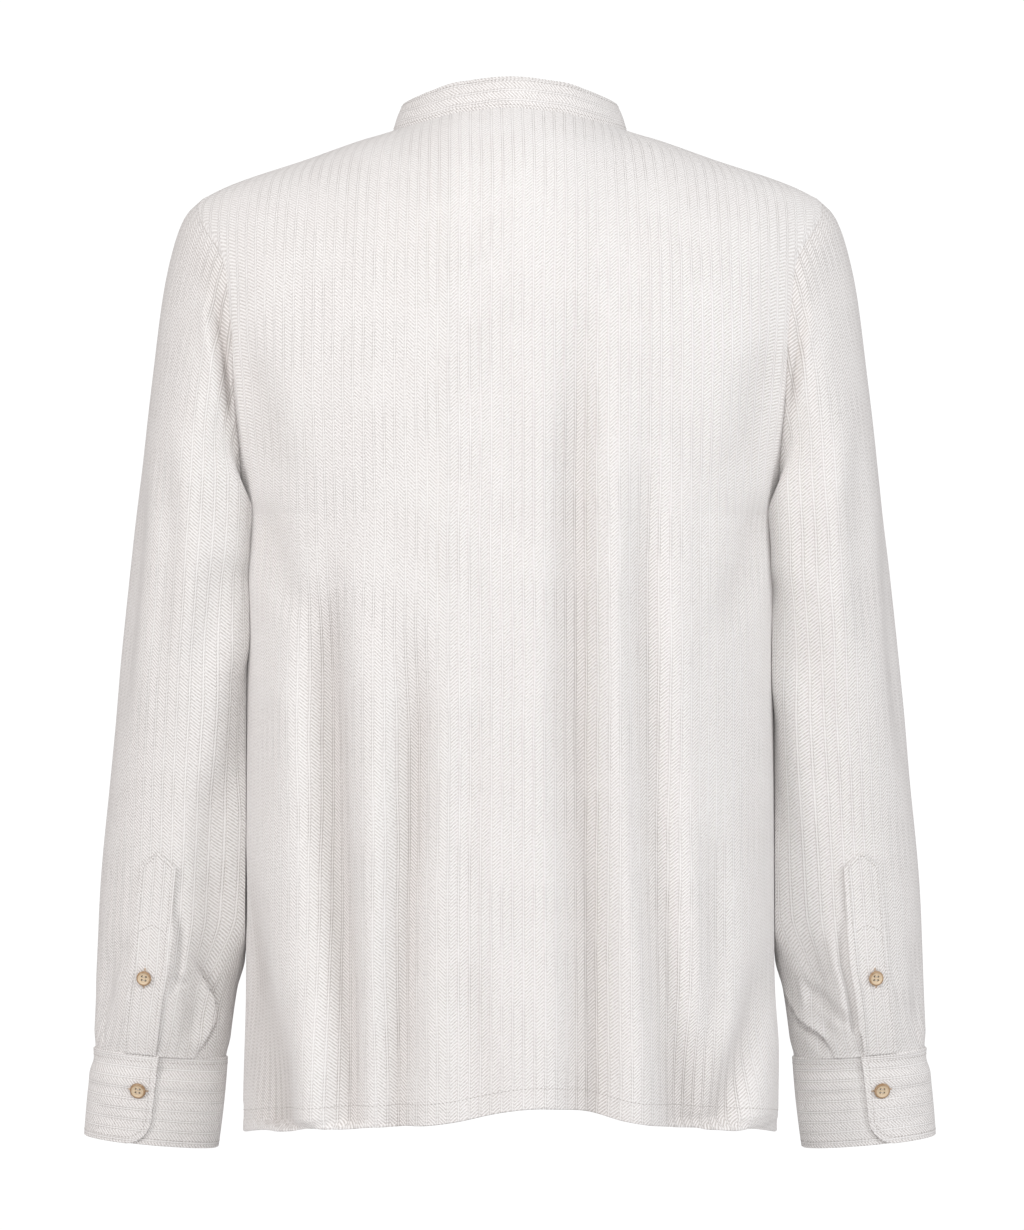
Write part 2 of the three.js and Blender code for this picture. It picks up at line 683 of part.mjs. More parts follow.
// Sleeve placket: a pointed strip on the sleeve's back, from above the elbow line to the cuff
function sleeveSurface(share, degrees) {
  const angle = radians(degrees);
  const step = 0.004;
  const point = sleevePoint(share, angle);
  const round = sleevePoint(share, angle + angleStep).sub(sleevePoint(share, angle - angleStep));
  const down = sleevePoint(Math.min(1, share + step), angle).sub(sleevePoint(share - step, angle));
  const normal = round.cross(down).normalize();
  if (normal.y < 0) normal.negate();
  return { point, normal };
}

function placketWall() {
  const strip = placketStrip;
  const across = [0, 0.25, 0.5, 0.75, 1];
  const downs = [0, 0.12, 0.26, 0.4, 0.54, 0.68, 0.82, 0.93, 1];
  const cells = downs.map((down) =>
    across.map((turn) => {
      const outer = THREE.MathUtils.lerp(strip.outerAngle, strip.lowOuter, down);
      const inner = THREE.MathUtils.lerp(strip.innerAngle, strip.lowInner, down);
      const point = 1 - Math.abs(2 * turn - 1);
      const start = THREE.MathUtils.lerp(strip.tip, strip.from, point);
      const share = THREE.MathUtils.lerp(start, strip.to, down);
      return sleeveSurface(share, THREE.MathUtils.lerp(outer, inner, turn));
    }),
  );
  const normals = cells.map((row) => row.map((cell) => cell.normal));
  const grid = cells.map((row) =>
    row.map((cell) => cell.point.clone().addScaledVector(cell.normal, stripGap + stripWall)),
  );
  return { grid, normals };
}

// A shirt button: a turned disc with a raised rim
function buttonGeometry(radius) {
  const outline = [
    [0, 0],
    [radius * 0.8, 0],
    [radius, buttonHeight * 0.4],
    [radius * 0.96, buttonHeight * 0.85],
    [radius * 0.78, buttonHeight],
    [radius * 0.62, buttonHeight * 0.76],
    [0, buttonHeight * 0.72],
  ];
  const points = outline.map(([across, height]) => new THREE.Vector2(across, height));
  return new THREE.LatheGeometry(points, buttonSides);
}

function addButton(name, radius, place, normal) {
  const mesh = addMesh(
    name,
    buttonGeometry(radius),
    new THREE.MeshStandardMaterial({ color: colours.button, roughness: 0.4, metalness: 0 }),
  );
  mesh.position.copy(place).addScaledVector(normal, layerGap);
  mesh.quaternion.setFromUnitVectors(new THREE.Vector3(0, 1, 0), normal.clone().normalize());
}

const cuffWalls = cuffGrid();
const stripWalls = placketWall();
for (const [name, sign] of [["left", 1], ["right", -1]]) {
  const cloth = () => clothMaterial(colours.clothShade);
  const sleeve = wallGeometry(turned(sleeveGrid, sign), turned(sleeveNormals, sign), clothWall, true);
  addMesh("sleeve_" + name, sleeve, cloth());
  const cuff = wallGeometry(turned(cuffWalls.rows, sign), turned(cuffWalls.normals, sign), bandWall);
  addMesh("cuff_" + name, cuff, cloth());
  const strip = wallGeometry(turned(stripWalls.grid, sign), turned(stripWalls.normals, sign), stripWall);
  addMesh("sleeve_placket_" + name, strip, cloth());

  const seat = sleeveSurface(placketButtonShare, placketButtonAngle);
  const place = seat.point.clone().addScaledVector(seat.normal, stripGap + stripWall);
  addButton("sleeve_button_" + name, placketButtonRadius, flip(place, sign), flip(seat.normal, sign));

  const angle = radians(cuffButtonAngle);
  const down = cuffButtonRise / cuffHeight;
  const point = ringPoint(cuffSection(down), angle);
  const section = cuffSection(down);
  const round = ringPoint(section, angle + angleStep).sub(ringPoint(section, angle - angleStep));
  const fall = ringPoint(cuffSection(1), angle).sub(ringPoint(cuffSection(0), angle));
  const normal = round.cross(fall).normalize();
  if (normal.y < 0) normal.negate();
  addButton("cuff_button_" + name, cuffButtonRadius, flip(point, sign), flip(normal, sign));
}

// Front buttons on the placket, and one on the collar band
function onPlacket(z) {
  const column = placketGrid.map((row) => row[1]);
  const upper = column.findIndex((point) => point.z > z);
  const share = (z - column[upper - 1].z) / (column[upper].z - column[upper - 1].z);
  const point = column[upper - 1].clone().lerp(column[upper], share);
  const normal = placketNormals[upper - 1][1].clone().lerp(placketNormals[upper][1], share).normalize();
  return { point, normal };
}

for (let k = 0; k < frontButtonCount; k += 1) {
  const seat = onPlacket(frontButtonTop - frontButtonPitch * k);
  seat.point.addScaledVector(seat.normal, layerGap);
  addButton("front_button_" + (k + 1), cuffButtonRadius, seat.point, seat.normal);
}
const bandMiddle = band.rows[1][3];
addButton("collar_button", cuffButtonRadius, bandMiddle, band.normalRows[1][3]);

export default shirt;
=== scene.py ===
import math
import bpy
import numpy as np
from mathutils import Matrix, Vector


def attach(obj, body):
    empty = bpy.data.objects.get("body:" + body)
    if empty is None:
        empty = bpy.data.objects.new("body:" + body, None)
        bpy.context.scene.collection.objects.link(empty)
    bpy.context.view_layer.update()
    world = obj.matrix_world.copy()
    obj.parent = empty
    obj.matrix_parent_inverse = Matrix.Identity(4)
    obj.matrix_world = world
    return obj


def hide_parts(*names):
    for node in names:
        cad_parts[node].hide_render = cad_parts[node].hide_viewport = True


# Band collar shirt: lengths in the dictionaries are millimetres, and meshes are made in metres.
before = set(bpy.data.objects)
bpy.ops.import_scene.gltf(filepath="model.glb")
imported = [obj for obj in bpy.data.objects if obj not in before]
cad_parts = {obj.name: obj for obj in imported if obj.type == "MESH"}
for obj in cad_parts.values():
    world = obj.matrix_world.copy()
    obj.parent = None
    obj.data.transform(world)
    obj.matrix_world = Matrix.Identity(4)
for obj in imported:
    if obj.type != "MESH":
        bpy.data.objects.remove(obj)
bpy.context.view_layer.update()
mm = 0.001
print("frame loaded:", len(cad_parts), "nodes")

cloth = {
    "wall": 1.3, "doubledWall": 2.1, "stripWall": 1.1, "layerGap": 0.35,
    "ribPitch": 7.2, "twillPitch": 2.35, "twillSlope": 0.95,
    "colour": (0.95, 0.945, 0.94), "warmColour": (0.945, 0.935, 0.93), "twillColour": (0.60, 0.57, 0.55),
    # Fold colour, fold tint and the folded gains: painted shade in creases and hollows, where the fold
    # attribute is high
    "lineColour": (0.52, 0.49, 0.47), "paintedShadeColour": (0.84, 0.80, 0.785), "paintedShadeTint": 0.42, "ribTint": 0.07,
    "twillGain": 0.9, "paintedShadeTwillGain": 0.7, "lineGain": 0.8, "paintedShadeLineGain": 1.2, "strongWeave": 1.15,
    "roughness": 0.88, "specular": 0.25, "sheen": 0.12, "sheenRoughness": 0.5, "bump": 0.8, "bumpDepth": 0.6,
}


# General helpers

def smoothStep(value, low, high):
    # 3t squared less 2t cubed, with t the share of the way from low to high
    t = np.clip((value - low) / (high - low), 0.0, 1.0)
    return t * t * (3 - 2 * t)


def blend(a, b, t):
    return a + (b - a) * t


def smoothCurve(xs, ys):
    # Cubic pieces through the points, each tangent the harmonic mean of the slopes beside it
    xs, ys = np.asarray(xs, float), np.asarray(ys, float)
    steps = np.diff(xs)
    slopes = np.diff(ys) / steps
    product = slopes[:-1] * slopes[1:]
    total = slopes[:-1] + slopes[1:]
    inner = np.where(product > 0, 2 * product / np.where(total == 0, 1, total), 0)
    turns = np.concatenate([slopes[:1], inner, slopes[-1:]])

    def at(values):
        v = np.clip(values, xs[0], xs[-1])
        i = np.clip(np.searchsorted(xs, v, side="right") - 1, 0, len(xs) - 2)
        span = steps[i]
        t = (v - xs[i]) / span
        start = (1 + 2 * t) * (1 - t) ** 2 * ys[i] + t * (1 - t) ** 2 * span * turns[i]
        return start + t * t * (3 - 2 * t) * ys[i + 1] + t * t * (t - 1) * span * turns[i + 1]

    return at


def unit(vectors):
    return vectors / np.maximum(np.linalg.norm(vectors, axis=-1, keepdims=True), 1e-12)


def gridNormals(points, wraps=False, outward=None):
    # Cross product of the central differences along the two directions of the grid
    up = np.gradient(points, axis=0)
    if wraps:
        across = (np.roll(points, -1, axis=1) - np.roll(points, 1, axis=1)) / 2
    else:
        across = np.gradient(points, axis=1)
    normals = unit(np.cross(across, up))
    away = points - points.reshape(-1, 3).mean(0) if outward is None else np.asarray(outward, float)
    return normals if (normals * away).sum() >= 0 else -normals


def arcLengths(points, axis, zeroAt=0):
    # Distance along the grid's lines, counted from one of its rows or columns
    steps = np.linalg.norm(np.diff(points, axis=axis), axis=-1)
    zero = np.zeros_like(np.take(steps, [0], axis=axis))
    lengths = np.concatenate([zero, np.cumsum(steps, axis=axis)], axis=axis)
    return lengths - np.take(lengths, [zeroAt], axis=axis)


def clothPlaces(points, axis, zeroAt=0, sloping=True):
    # U: distance round, square to the axis. V: place along the axis, plus what the slope of the lines adds
    axis = unit(np.asarray(axis, float))
    around = np.diff(points, axis=1)
    flat = around - (around @ axis)[..., None] * axis
    zero = np.zeros((len(points), 1))
    u = np.concatenate([zero, np.cumsum(np.linalg.norm(flat, axis=-1), axis=1)], 1)
    u = u - u[:, zeroAt:zeroAt + 1]
    if not sloping:
        return np.stack([u, points @ axis], -1)
    rise = np.diff(points, axis=0)
    upward = rise @ axis
    outward = rise[..., 1] - upward * axis[1]
    steps = np.sign(upward) * np.sqrt(upward ** 2 + outward ** 2)
    start = (points[:1] @ axis)
    v = np.concatenate([start, start + np.cumsum(steps, axis=0)], 0)
    return np.stack([u, v], -1)


def quadGrid(rows, columns, wraps):
    # Corner numbers of each cell of a grid of points
    i, j = np.meshgrid(np.arange(rows - 1), np.arange(columns if wraps else columns - 1), indexing="ij")
    after = (j + 1) % columns
    low, high = i * columns, (i + 1) * columns
    return np.stack([low + j, low + after, high + after, high + j], -1).reshape(-1, 4)


def makeObject(name, data):
    made = bpy.data.objects.new(name, data)
    bpy.context.scene.collection.objects.link(made)
    return made


def makeMesh(name, points, faces, uv=None, material=None, sharp=55, fold=None):
    # Points in millimetres and their faces become one mesh object in metres
    mesh = bpy.data.meshes.new(name)
    cells = faces if isinstance(faces, list) else faces.tolist()
    mesh.from_pydata((np.asarray(points, float) * mm).tolist(), [], cells)
    mesh.polygons.foreach_set("use_smooth", np.ones(len(mesh.polygons), bool))
    if uv is not None:
        corners = np.zeros(len(mesh.loops), np.int32)
        mesh.loops.foreach_get("vertex_index", corners)
        layer = mesh.uv_layers.new(name="cloth")
        layer.data.foreach_set("uv", (np.asarray(uv, float)[corners] * mm).ravel())
    # The fold attribute is a painted-shade mask, read by the cloth material
    if fold is not None:
        mesh.attributes.new("fold", "FLOAT", "POINT").data.foreach_set("value", np.asarray(fold, np.float32))
    mesh.update()
    if sharp is not None:
        mesh.set_sharp_from_angle(angle=math.radians(sharp))
    if material is not None:
        mesh.materials.append(material)
    return makeObject(name, mesh)


def signedVolume(points, quads):
    a, b, c, d = (points[quads[:, k]] for k in range(4))
    return float((np.cross(a, b) * c).sum() + (np.cross(a, c) * d).sum())


def lastRow(points):
    return points.shape[0] - 1


def lastColumn(points):
    return points.shape[1] - 1


def edgeLoop(rows, columns):
    # Corner numbers once round an open grid
    index = np.arange(rows * columns).reshape(rows, columns)
    return np.concatenate([index[0, :-1], index[:-1, -1], index[-1, :0:-1], index[:0:-1, 0]])


def clothWall(name, form, thickness, material, wraps=False, slotName="body_cloth", node=None, fold=0.0):
    # Outer face on the grid, inner face set back along the normals by the thickness, and rounded rims:
    # each rim's middle line stands off the grid's last line by a share of the thickness
    points, normals, uv = form
    rows, columns = points.shape[:2]
    depth = np.broadcast_to(np.asarray(thickness, float), (rows, columns))[..., None]
    inner = points - normals * depth
    away = np.zeros_like(points)
    away[0] += unit(points[0] - points[1])
    away[-1] += unit(points[-1] - points[-2])
    if wraps:
        index = np.arange(rows * columns).reshape(rows, columns)
        loops = [index[0], index[-1]]
    else:
        away[:, 0] += unit(points[:, 0] - points[:, 1])
        away[:, -1] += unit(points[:, -1] - points[:, -2])
        loops = [edgeLoop(rows, columns)]
    middle = ((points + inner) / 2 + unit(away) * depth * 0.35).reshape(-1, 3)
    count = rows * columns
    outerFaces = quadGrid(rows, columns, wraps)
    faces, rims, rimUv, first = [outerFaces, outerFaces[:, ::-1] + count], [], [], 2 * count
    for loop in loops:
        middles = np.arange(len(loop)) + first
        after, middlesAfter = np.roll(loop, -1), np.roll(middles, -1)
        forward = [np.stack([loop, after, middlesAfter, middles], -1),
                   np.stack([middles, middlesAfter, after + count, loop + count], -1)]
        turned = loop is not loops[0] if wraps else False
        faces += [part if turned else part[:, ::-1] for part in forward]
        rims.append(middle[loop])
        rimUv.append(uv.reshape(-1, 2)[loop])
        first += len(loop)
    every = np.concatenate([points.reshape(-1, 3), inner.reshape(-1, 3), *rims])
    faces = np.concatenate(faces)
    if signedVolume(every, faces) < 0:
        faces = faces[:, ::-1]
    flat = np.concatenate([uv.reshape(-1, 2), uv.reshape(-1, 2), *rimUv])
    # Painted shade mask: each point's fold share on the outer face and the rims, none on the inner face
    paintedShadeAtPoints = np.broadcast_to(np.asarray(fold, float), (rows, columns)).ravel()
    paintedShadeAtPoints = np.concatenate([paintedShadeAtPoints, 0 * paintedShadeAtPoints, *(paintedShadeAtPoints[loop] for loop in loops)])
    return dress(makeMesh(name, every, faces, flat, material, fold=paintedShadeAtPoints), slotName, node)


def dress(made, slotName, *nodes):
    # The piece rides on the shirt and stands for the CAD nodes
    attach(made, "root")
    named = [node for node in nodes if node]
    if named:
        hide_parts(*named)
    return made


# Cloth material: ribs with a twill between them

def newGroup(name, inputs, outputs):
    tree = bpy.data.node_groups.new(name, "ShaderNodeTree")
    for label, kind, value in inputs:
        socket = tree.interface.new_socket(label, in_out="INPUT", socket_type=kind)
        if value is not None:
            socket.default_value = value
    for label, kind in outputs:
        tree.interface.new_socket(label, in_out="OUTPUT", socket_type=kind)
    return tree, tree.nodes.new("NodeGroupInput"), tree.nodes.new("NodeGroupOutput")


def mathNode(tree, operation, *values):
    node = tree.nodes.new("ShaderNodeMath")
    node.operation = operation
    for socket, value in zip(node.inputs, values):
        if isinstance(value, bpy.types.NodeSocket):
            tree.links.new(value, socket)
        else:
            socket.default_value = value
    return node.outputs[0]


def noiseNode(tree, place, scale, detail=2.0, distortion=0.0):
    node = tree.nodes.new("ShaderNodeTexNoise")
    for label, value in (("Scale", scale), ("Detail", detail), ("Distortion", distortion)):
        node.inputs[label].default_value = value
    tree.links.new(place, node.inputs["Vector"])
    return node.outputs[0]


def splitNode(tree, vector):
    node = tree.nodes.new("ShaderNodeSeparateXYZ")
    tree.links.new(vector, node.inputs[0])
    return node.outputs[0], node.outputs[1]


def ownPattern(tree):
    # The piece's own UV map
    node = tree.nodes.new("ShaderNodeUVMap")
    node.uv_map = "cloth"
    return node.outputs[0]


def newMaterial(name, roughness, specular):
    material = bpy.data.materials.new(name)
    material.use_nodes = True
    shader = material.node_tree.nodes["Principled BSDF"]
    shader.inputs["Roughness"].default_value = roughness
    shader.inputs["Specular IOR Level"].default_value = specular
    return material, material.node_tree, shader


def rampNode(tree, value, low, high, start=0.0, end=1.0):
    node = tree.nodes.new("ShaderNodeMapRange")
    node.interpolation_type = "SMOOTHSTEP"
    tree.links.new(value, node.inputs["Value"])
    for label, number in (("From Min", low), ("From Max", high), ("To Min", start), ("To Max", end)):
        node.inputs[label].default_value = number
    return node.outputs["Result"]


def weaveGroup():
    # Ribs lie side by side across U, with a plain gap between two thin lines after each, and a twill on each
    number = "NodeSocketFloat"
    tree, given, result = newGroup(
        "ribTwill",
        [("Vector", "NodeSocketVector", None), ("Rib Pitch", number, 0.007), ("Twill Pitch", number, 0.0023),
         ("Twill Slope", number, 0.9), ("Turn At", number, 0.0), ("Lean", number, 1.0)],
        [("Line", number), ("Twill", number), ("Height", number), ("Mottle", number), ("Rib Tone", number)])
    place = given.outputs["Vector"]
    u, v = splitNode(tree, place)

    def work(operation, *values):
        return mathNode(tree, operation, *values)

    def times(first, second):
        return mathNode(tree, "MULTIPLY", first, second)

    wander = noiseNode(tree, place, 9.0, 1.0)
    ribs = work("MULTIPLY_ADD", wander, 0.5, work("DIVIDE", u, given.outputs["Rib Pitch"]))
    ribNumber = work("FLOOR", ribs)
    offset = work("ABSOLUTE", work("SUBTRACT", work("FRACT", ribs), 0.5))
    # The twill leans the other way past the turning place, and each rib's starts at its own height
    lean = times(work("SIGN", work("SUBTRACT", u, given.outputs["Turn At"])), given.outputs["Lean"])
    slope = times(times(lean, given.outputs["Twill Slope"]), u)
    rising = work("DIVIDE", work("ADD", v, slope), given.outputs["Twill Pitch"])
    rising = work("ADD", rising, times(ribNumber, 0.37))
    wave = work("SINE", times(rising, 2 * math.pi))
    onRib = rampNode(tree, offset, 0.40, 0.34)
    thin = times(rampNode(tree, offset, 0.35, 0.40), rampNode(tree, offset, 0.46, 0.42, 0.25, 1.0))
    dots = work("MULTIPLY_ADD", wave, 0.25, 0.75)
    patchy = rampNode(tree, noiseNode(tree, place, 25.0), 0.35, 0.65, 0.7, 1.0)
    line = times(times(thin, dots), patchy)
    raised = work("MULTIPLY_ADD", wave, 0.5, 0.5)
    broken = rampNode(tree, noiseNode(tree, place, 700.0), 0.3, 0.7, 0.55, 1.0)
    dark = times(times(work("SUBTRACT", 1.0, raised), onRib), broken)
    height = work("SUBTRACT", times(work("SUBTRACT", 1.0, dark), 0.6), times(line, 0.8))
    each = tree.nodes.new("ShaderNodeTexWhiteNoise")
    each.noise_dimensions = "1D"
    tree.links.new(ribNumber, each.inputs["W"])
    made = {"Line": line, "Twill": dark, "Height": height, "Mottle": noiseNode(tree, place, 30.0, 3.0),
            "Rib Tone": times(each.outputs["Value"], patchy)}
    for label, value in made.items():
        tree.links.new(value, result.inputs[label])
    return tree


def mixColour(tree, factor, first, second):
    node = tree.nodes.new("ShaderNodeMix")
    node.data_type = "RGBA"
    for socket, value in ((node.inputs[0], factor), (node.inputs[6], first), (node.inputs[7], second)):
        if isinstance(value, bpy.types.NodeSocket):
            tree.links.new(value, socket)
        elif isinstance(value, (int, float)):
            socket.default_value = value
        else:
            socket.default_value = (*value, 1.0)
    return node.outputs[2]


def clothMaterial(name, weave, turnAt=0.0, lean=1.0, strength=1.0, plainTop=False):
    # The weave darkens a mottled pale colour; painted shade darkens colour and weave more where the fold
    # attribute is high
    material, tree, shader = newMaterial(name, cloth["roughness"], cloth["specular"])
    place = ownPattern(tree)
    group = tree.nodes.new("ShaderNodeGroup")
    group.node_tree = weave
    tree.links.new(place, group.inputs["Vector"])
    values = {"Rib Pitch": cloth["ribPitch"] * mm, "Twill Pitch": cloth["twillPitch"] * mm,
              "Twill Slope": cloth["twillSlope"], "Turn At": turnAt * mm, "Lean": lean}
    for label, value in values.items():
        group.inputs[label].default_value = value
    attribute = tree.nodes.new("ShaderNodeAttribute")
    attribute.attribute_name = "fold"
    fold = attribute.outputs["Fac"]
    # Painted shade: the twill and the lines grow darker where the fold attribute is high
    twillGain, lineGain = (
        mathNode(tree, "MULTIPLY_ADD", fold, cloth[folded] * strength, cloth[plain] * strength)
        for folded, plain in (("paintedShadeTwillGain", "twillGain"), ("paintedShadeLineGain", "lineGain")))
    twill = mathNode(tree, "MULTIPLY", group.outputs["Twill"], twillGain)
    if plainTop:
        # Towards the neck the twill grows faint
        faint = rampNode(tree, splitNode(tree, place)[1], -0.10, 0.01, 1.0, 0.7)
        twill = mathNode(tree, "MULTIPLY", twill, faint)
    line = mathNode(tree, "MULTIPLY", group.outputs["Line"], lineGain)
    ribTone = mathNode(tree, "MULTIPLY", group.outputs["Rib Tone"], cloth["ribTint"] * strength)
    # Painted shade: a darker colour mixed in by the fold attribute
    paintedFoldShade = mathNode(tree, "MULTIPLY", fold, cloth["paintedShadeTint"])
    mottle = rampNode(tree, group.outputs["Mottle"], 0.35, 0.65)
    colour = mixColour(tree, mottle, cloth["colour"], cloth["warmColour"])
    layers = ((paintedFoldShade, "paintedShadeColour"), (ribTone, "twillColour"), (twill, "twillColour"), (line, "lineColour"))
    for share, tint in layers:
        colour = mixColour(tree, share, colour, cloth[tint])
    tree.links.new(colour, shader.inputs["Base Color"])
    shader.inputs["Sheen Weight"].default_value = cloth["sheen"]
    shader.inputs["Sheen Roughness"].default_value = cloth["sheenRoughness"]
    bump = tree.nodes.new("ShaderNodeBump")
    bump.inputs["Strength"].default_value = cloth["bump"]
    bump.inputs["Distance"].default_value = cloth["bumpDepth"] * mm
    tree.links.new(group.outputs["Height"], bump.inputs["Height"])
    tree.links.new(bump.outputs[0], shader.inputs["Normal"])
    return material


weave = weaveGroup()
strong, noTurn = cloth["strongWeave"], -1000.0
backCloth = clothMaterial("ribbedCloth", weave, turnAt=40.0, lean=-1.0, plainTop=True)
leftSleeveCloth = clothMaterial("leftSleeveCloth", weave, turnAt=noTurn, lean=1.0, strength=strong)
rightSleeveCloth = clothMaterial("rightSleeveCloth", weave, turnAt=noTurn, lean=-1.0, strength=strong)
bandCloth = clothMaterial("crosswiseCloth", weave, turnAt=0.0, lean=1.0, strength=strong)
print("cloth materials made")


# Body: sections of the body over height, the shoulder line, the neckline and the armhole

body = {
    "ridgeY": -6.0, "power": 2.5, "reach": 152.0, "reachLoss": 12.0, "tipX": 219.0, "underarmZ": -270.0,
    "neckHalfWidth": 82.0, "neckTurn": 1.45, "neckDepth": 55.0, "frontDip": 42.0,
    "ventHeight": 18.0, "ventHalfOpening": 1.1, "ventInset": 2.4,
    "hemBand": 15.0, "hemHalfWidth": 187.0, "hemLevel": -690.0, "sideSeam": 420.0,
    # The last value on the next line is the crease depth at which the painted shade in a trough is full
    "overlap": 16.0, "underInset": 2.9, "seamRise": 0.45, "seamRiseAt": 5.0, "fullShadeCreaseDepth": 13.0,
}
bodySections = {
    "z": [-800, -698, -600, -450, -340, -300, -270, -240, -192, -139, -104, -57, 40],
    "halfWidth": [187, 187, 185, 184.5, 185, 185.8, 187.5, 194, 208, 222, 227, 235, 236],
    "back": [118, 118, 118, 118, 120.5, 121, 121, 120.5, 120, 119, 118, 118, 118],
    "front": [118, 118, 116, 118, 124, 126, 128, 130, 131, 132, 131, 130, 130],
}
shoulderLine = {
    "x": [-35, 0, 35, 52, 66, 82, 104, 144, 187, 204, 219, 228, 240],
    "z": [21.1, 27, 21.1, 13.8, 6.9, -0.4, -7, -21, -35, -42, -51, -62, -84],
}
armholeShape = {
    "turn": [0, 28, 74, 103, 123, 134, 152, 180],
    "back": [0, 0.31, 0.546, 0.63, 0.63, 0.6, 0.52, 0.482],
    "front": [0, 0.33, 0.6, 0.69, 0.68, 0.63, 0.53, 0.482],
}
hems = {
    1: {"side": -693, "middle": -685, "lift": 14, "liftX": -21, "liftWidth": 40, "corner": 6},
    -1: {"side": -693, "middle": -689, "lift": 0, "liftX": 0, "liftWidth": 40, "corner": 0},
}


def curvesOf(table, first):
    # One smooth curve for each other column of a table
    return {column: smoothCurve(table[first], table[column]) for column in table if column != first}


sectionCurves, armholeCurves = curvesOf(bodySections, "z"), curvesOf(armholeShape, "turn")
halfWidthAt = sectionCurves["halfWidth"]
depthAt = {1: sectionCurves["back"], -1: sectionCurves["front"]}
shoulderAt = smoothCurve(shoulderLine["x"], shoulderLine["z"])
armholeAt = {1: armholeCurves["back"], -1: armholeCurves["front"]}
tipZ = float(shoulderAt(body["tipX"]))

# Long troughs of the body: places across at three heights, where each starts, its depth and its width
longFolds = [
    {"side": 1, "top": 112, "middle": 112, "low": 104, "start": -330, "depth": 8, "width": 17},
    {"side": 1, "top": 60, "middle": 57, "low": 70, "start": -340, "depth": 8, "width": 16},
    {"side": 1, "top": -48, "middle": -44, "low": -55, "start": -170, "depth": 10, "width": 15},
    {"side": 1, "top": -92, "middle": -94, "low": -115, "start": -300, "depth": 6, "width": 17},
    {"side": -1, "top": 78, "middle": 84, "low": 92, "start": -250, "depth": 8, "width": 17},
    {"side": -1, "top": 132, "middle": 134, "low": 138, "start": -380, "depth": 6, "width": 15},
    {"side": -1, "top": -70, "middle": -74, "low": -66, "start": -280, "depth": 8, "width": 16},
    {"side": -1, "top": -124, "middle": -128, "low": -134, "start": -350, "depth": 7, "width": 17},
]


def ridgeHeight(side, x):
    # The shoulder line, which at the front dips inside the neck by a squared parabola
    across = np.abs(x)
    if side > 0:
        return shoulderAt(across)
    inner = np.clip(1 - (across / body["neckHalfWidth"]) ** 2, 0, 1)
    dipped = shoulderAt(body["neckHalfWidth"]) - body["frontDip"] * inner ** 2
    return np.where(across < body["neckHalfWidth"], dipped, shoulderAt(across))


def reachAt(x):
    return body["reach"] - body["reachLoss"] * (x / body["tipX"]) ** 2


def sideClosing(x, z):
    # Superellipse: the power root of one less the share across, raised to that power
    share = np.clip(np.abs(x) / halfWidthAt(z), 0, 1)
    return np.clip(1 - share ** body["power"], 0, 1) ** (1 / body["power"])


def shoulderClosing(side, x, z):
    # Quarter ellipse from the ridge down to where the body has its full depth
    drop = np.clip((ridgeHeight(side, x) - z) / reachAt(x), 0, 1)
    return np.sqrt(1 - (1 - drop) ** 2)


def longFoldPush(side, x, z):
    # Sum of bell-shaped troughs whose middles wander with height
    push = np.zeros(np.broadcast(x, z).shape)
    for fold in (one for one in longFolds if one["side"] == side):
        down = np.clip((fold["start"] - z) / (fold["start"] - body["hemLevel"]), 0, 1)
        upper = blend(fold["top"], fold["middle"], smoothStep(down, 0, 0.5))
        centre = blend(upper, fold["low"], smoothStep(down, 0.4, 1))
        bell = np.exp(-0.5 * ((x - centre) / fold["width"]) ** 2)
        push = push + fold["depth"] * smoothStep(down, 0, 0.8) * bell
    return push * smoothStep(sideClosing(x, z), 0.15, 0.55)


def bodyPoints(side, x, z, folds=True):
    # Depth of the body times both closings, less the long folds
    depth = depthAt[side](z) * shoulderClosing(side, x, z) * sideClosing(x, z)
    push = longFoldPush(side, x, z) if folds else 0
    return np.stack(np.broadcast_arrays(x, body["ridgeY"] + side * np.maximum(0, depth - push), z), -1)


def neckPoints(side, x):
    # Ellipse in plan that lies on the body's surface
    x = np.asarray(x, float)
    depth = body["neckDepth"] * np.sqrt(np.clip(1 - (x / body["neckHalfWidth"]) ** 2, 0, 1))
    ridge = ridgeHeight(side, x)
    share = depth / (depthAt[side](ridge) * sideClosing(x, ridge))
    z = ridge - reachAt(x) * (1 - np.sqrt(1 - share ** 2))
    return np.stack([x, body["ridgeY"] + side * depth, z], -1)


def armholePoints(side, turn):
    # Height from the cosine of the turn; the place across lies on the body's superellipse
    turn = np.asarray(turn, float)
    z = body["underarmZ"] + (tipZ - body["underarmZ"]) * (1 - np.cos(np.radians(turn))) / 2
    around = armholeAt[side](turn)
    x = halfWidthAt(z) * (1 - around ** body["power"]) ** (1 / body["power"])
    x = np.where(turn >= 180, body["tipX"], x)
    return bodyPoints(side, x, z, folds=False)


def hemHeight(side, x):
    # From the middle to the side by the cube of the share across, plus a bell and a drop at the corners
    hem = hems[side]
    across = np.clip(np.abs(x) / body["hemHalfWidth"], 0, 1)
    bump = hem["lift"] * np.exp(-0.5 * ((x - hem["liftX"]) / hem["liftWidth"]) ** 2)
    return blend(hem["middle"], hem["side"], across ** 3) + bump - hem["corner"] * across ** 20


neckTurns = np.linspace(0, body["neckTurn"], 41)
neckPlaces = body["neckHalfWidth"] * np.sin(neckTurns) / math.sin(body["neckTurn"])


def halfShares(shoulderCount):
    # Shares across half a panel, which meet the neckline first and the shoulder line after
    edge = math.asin(body["tipX"] / halfWidthAt(tipZ))
    neck = np.arcsin(neckPlaces * math.sin(edge) / body["tipX"]) / edge
    return np.concatenate([neck, np.linspace(neck[-1], 1, shoulderCount + 1)[1:]])


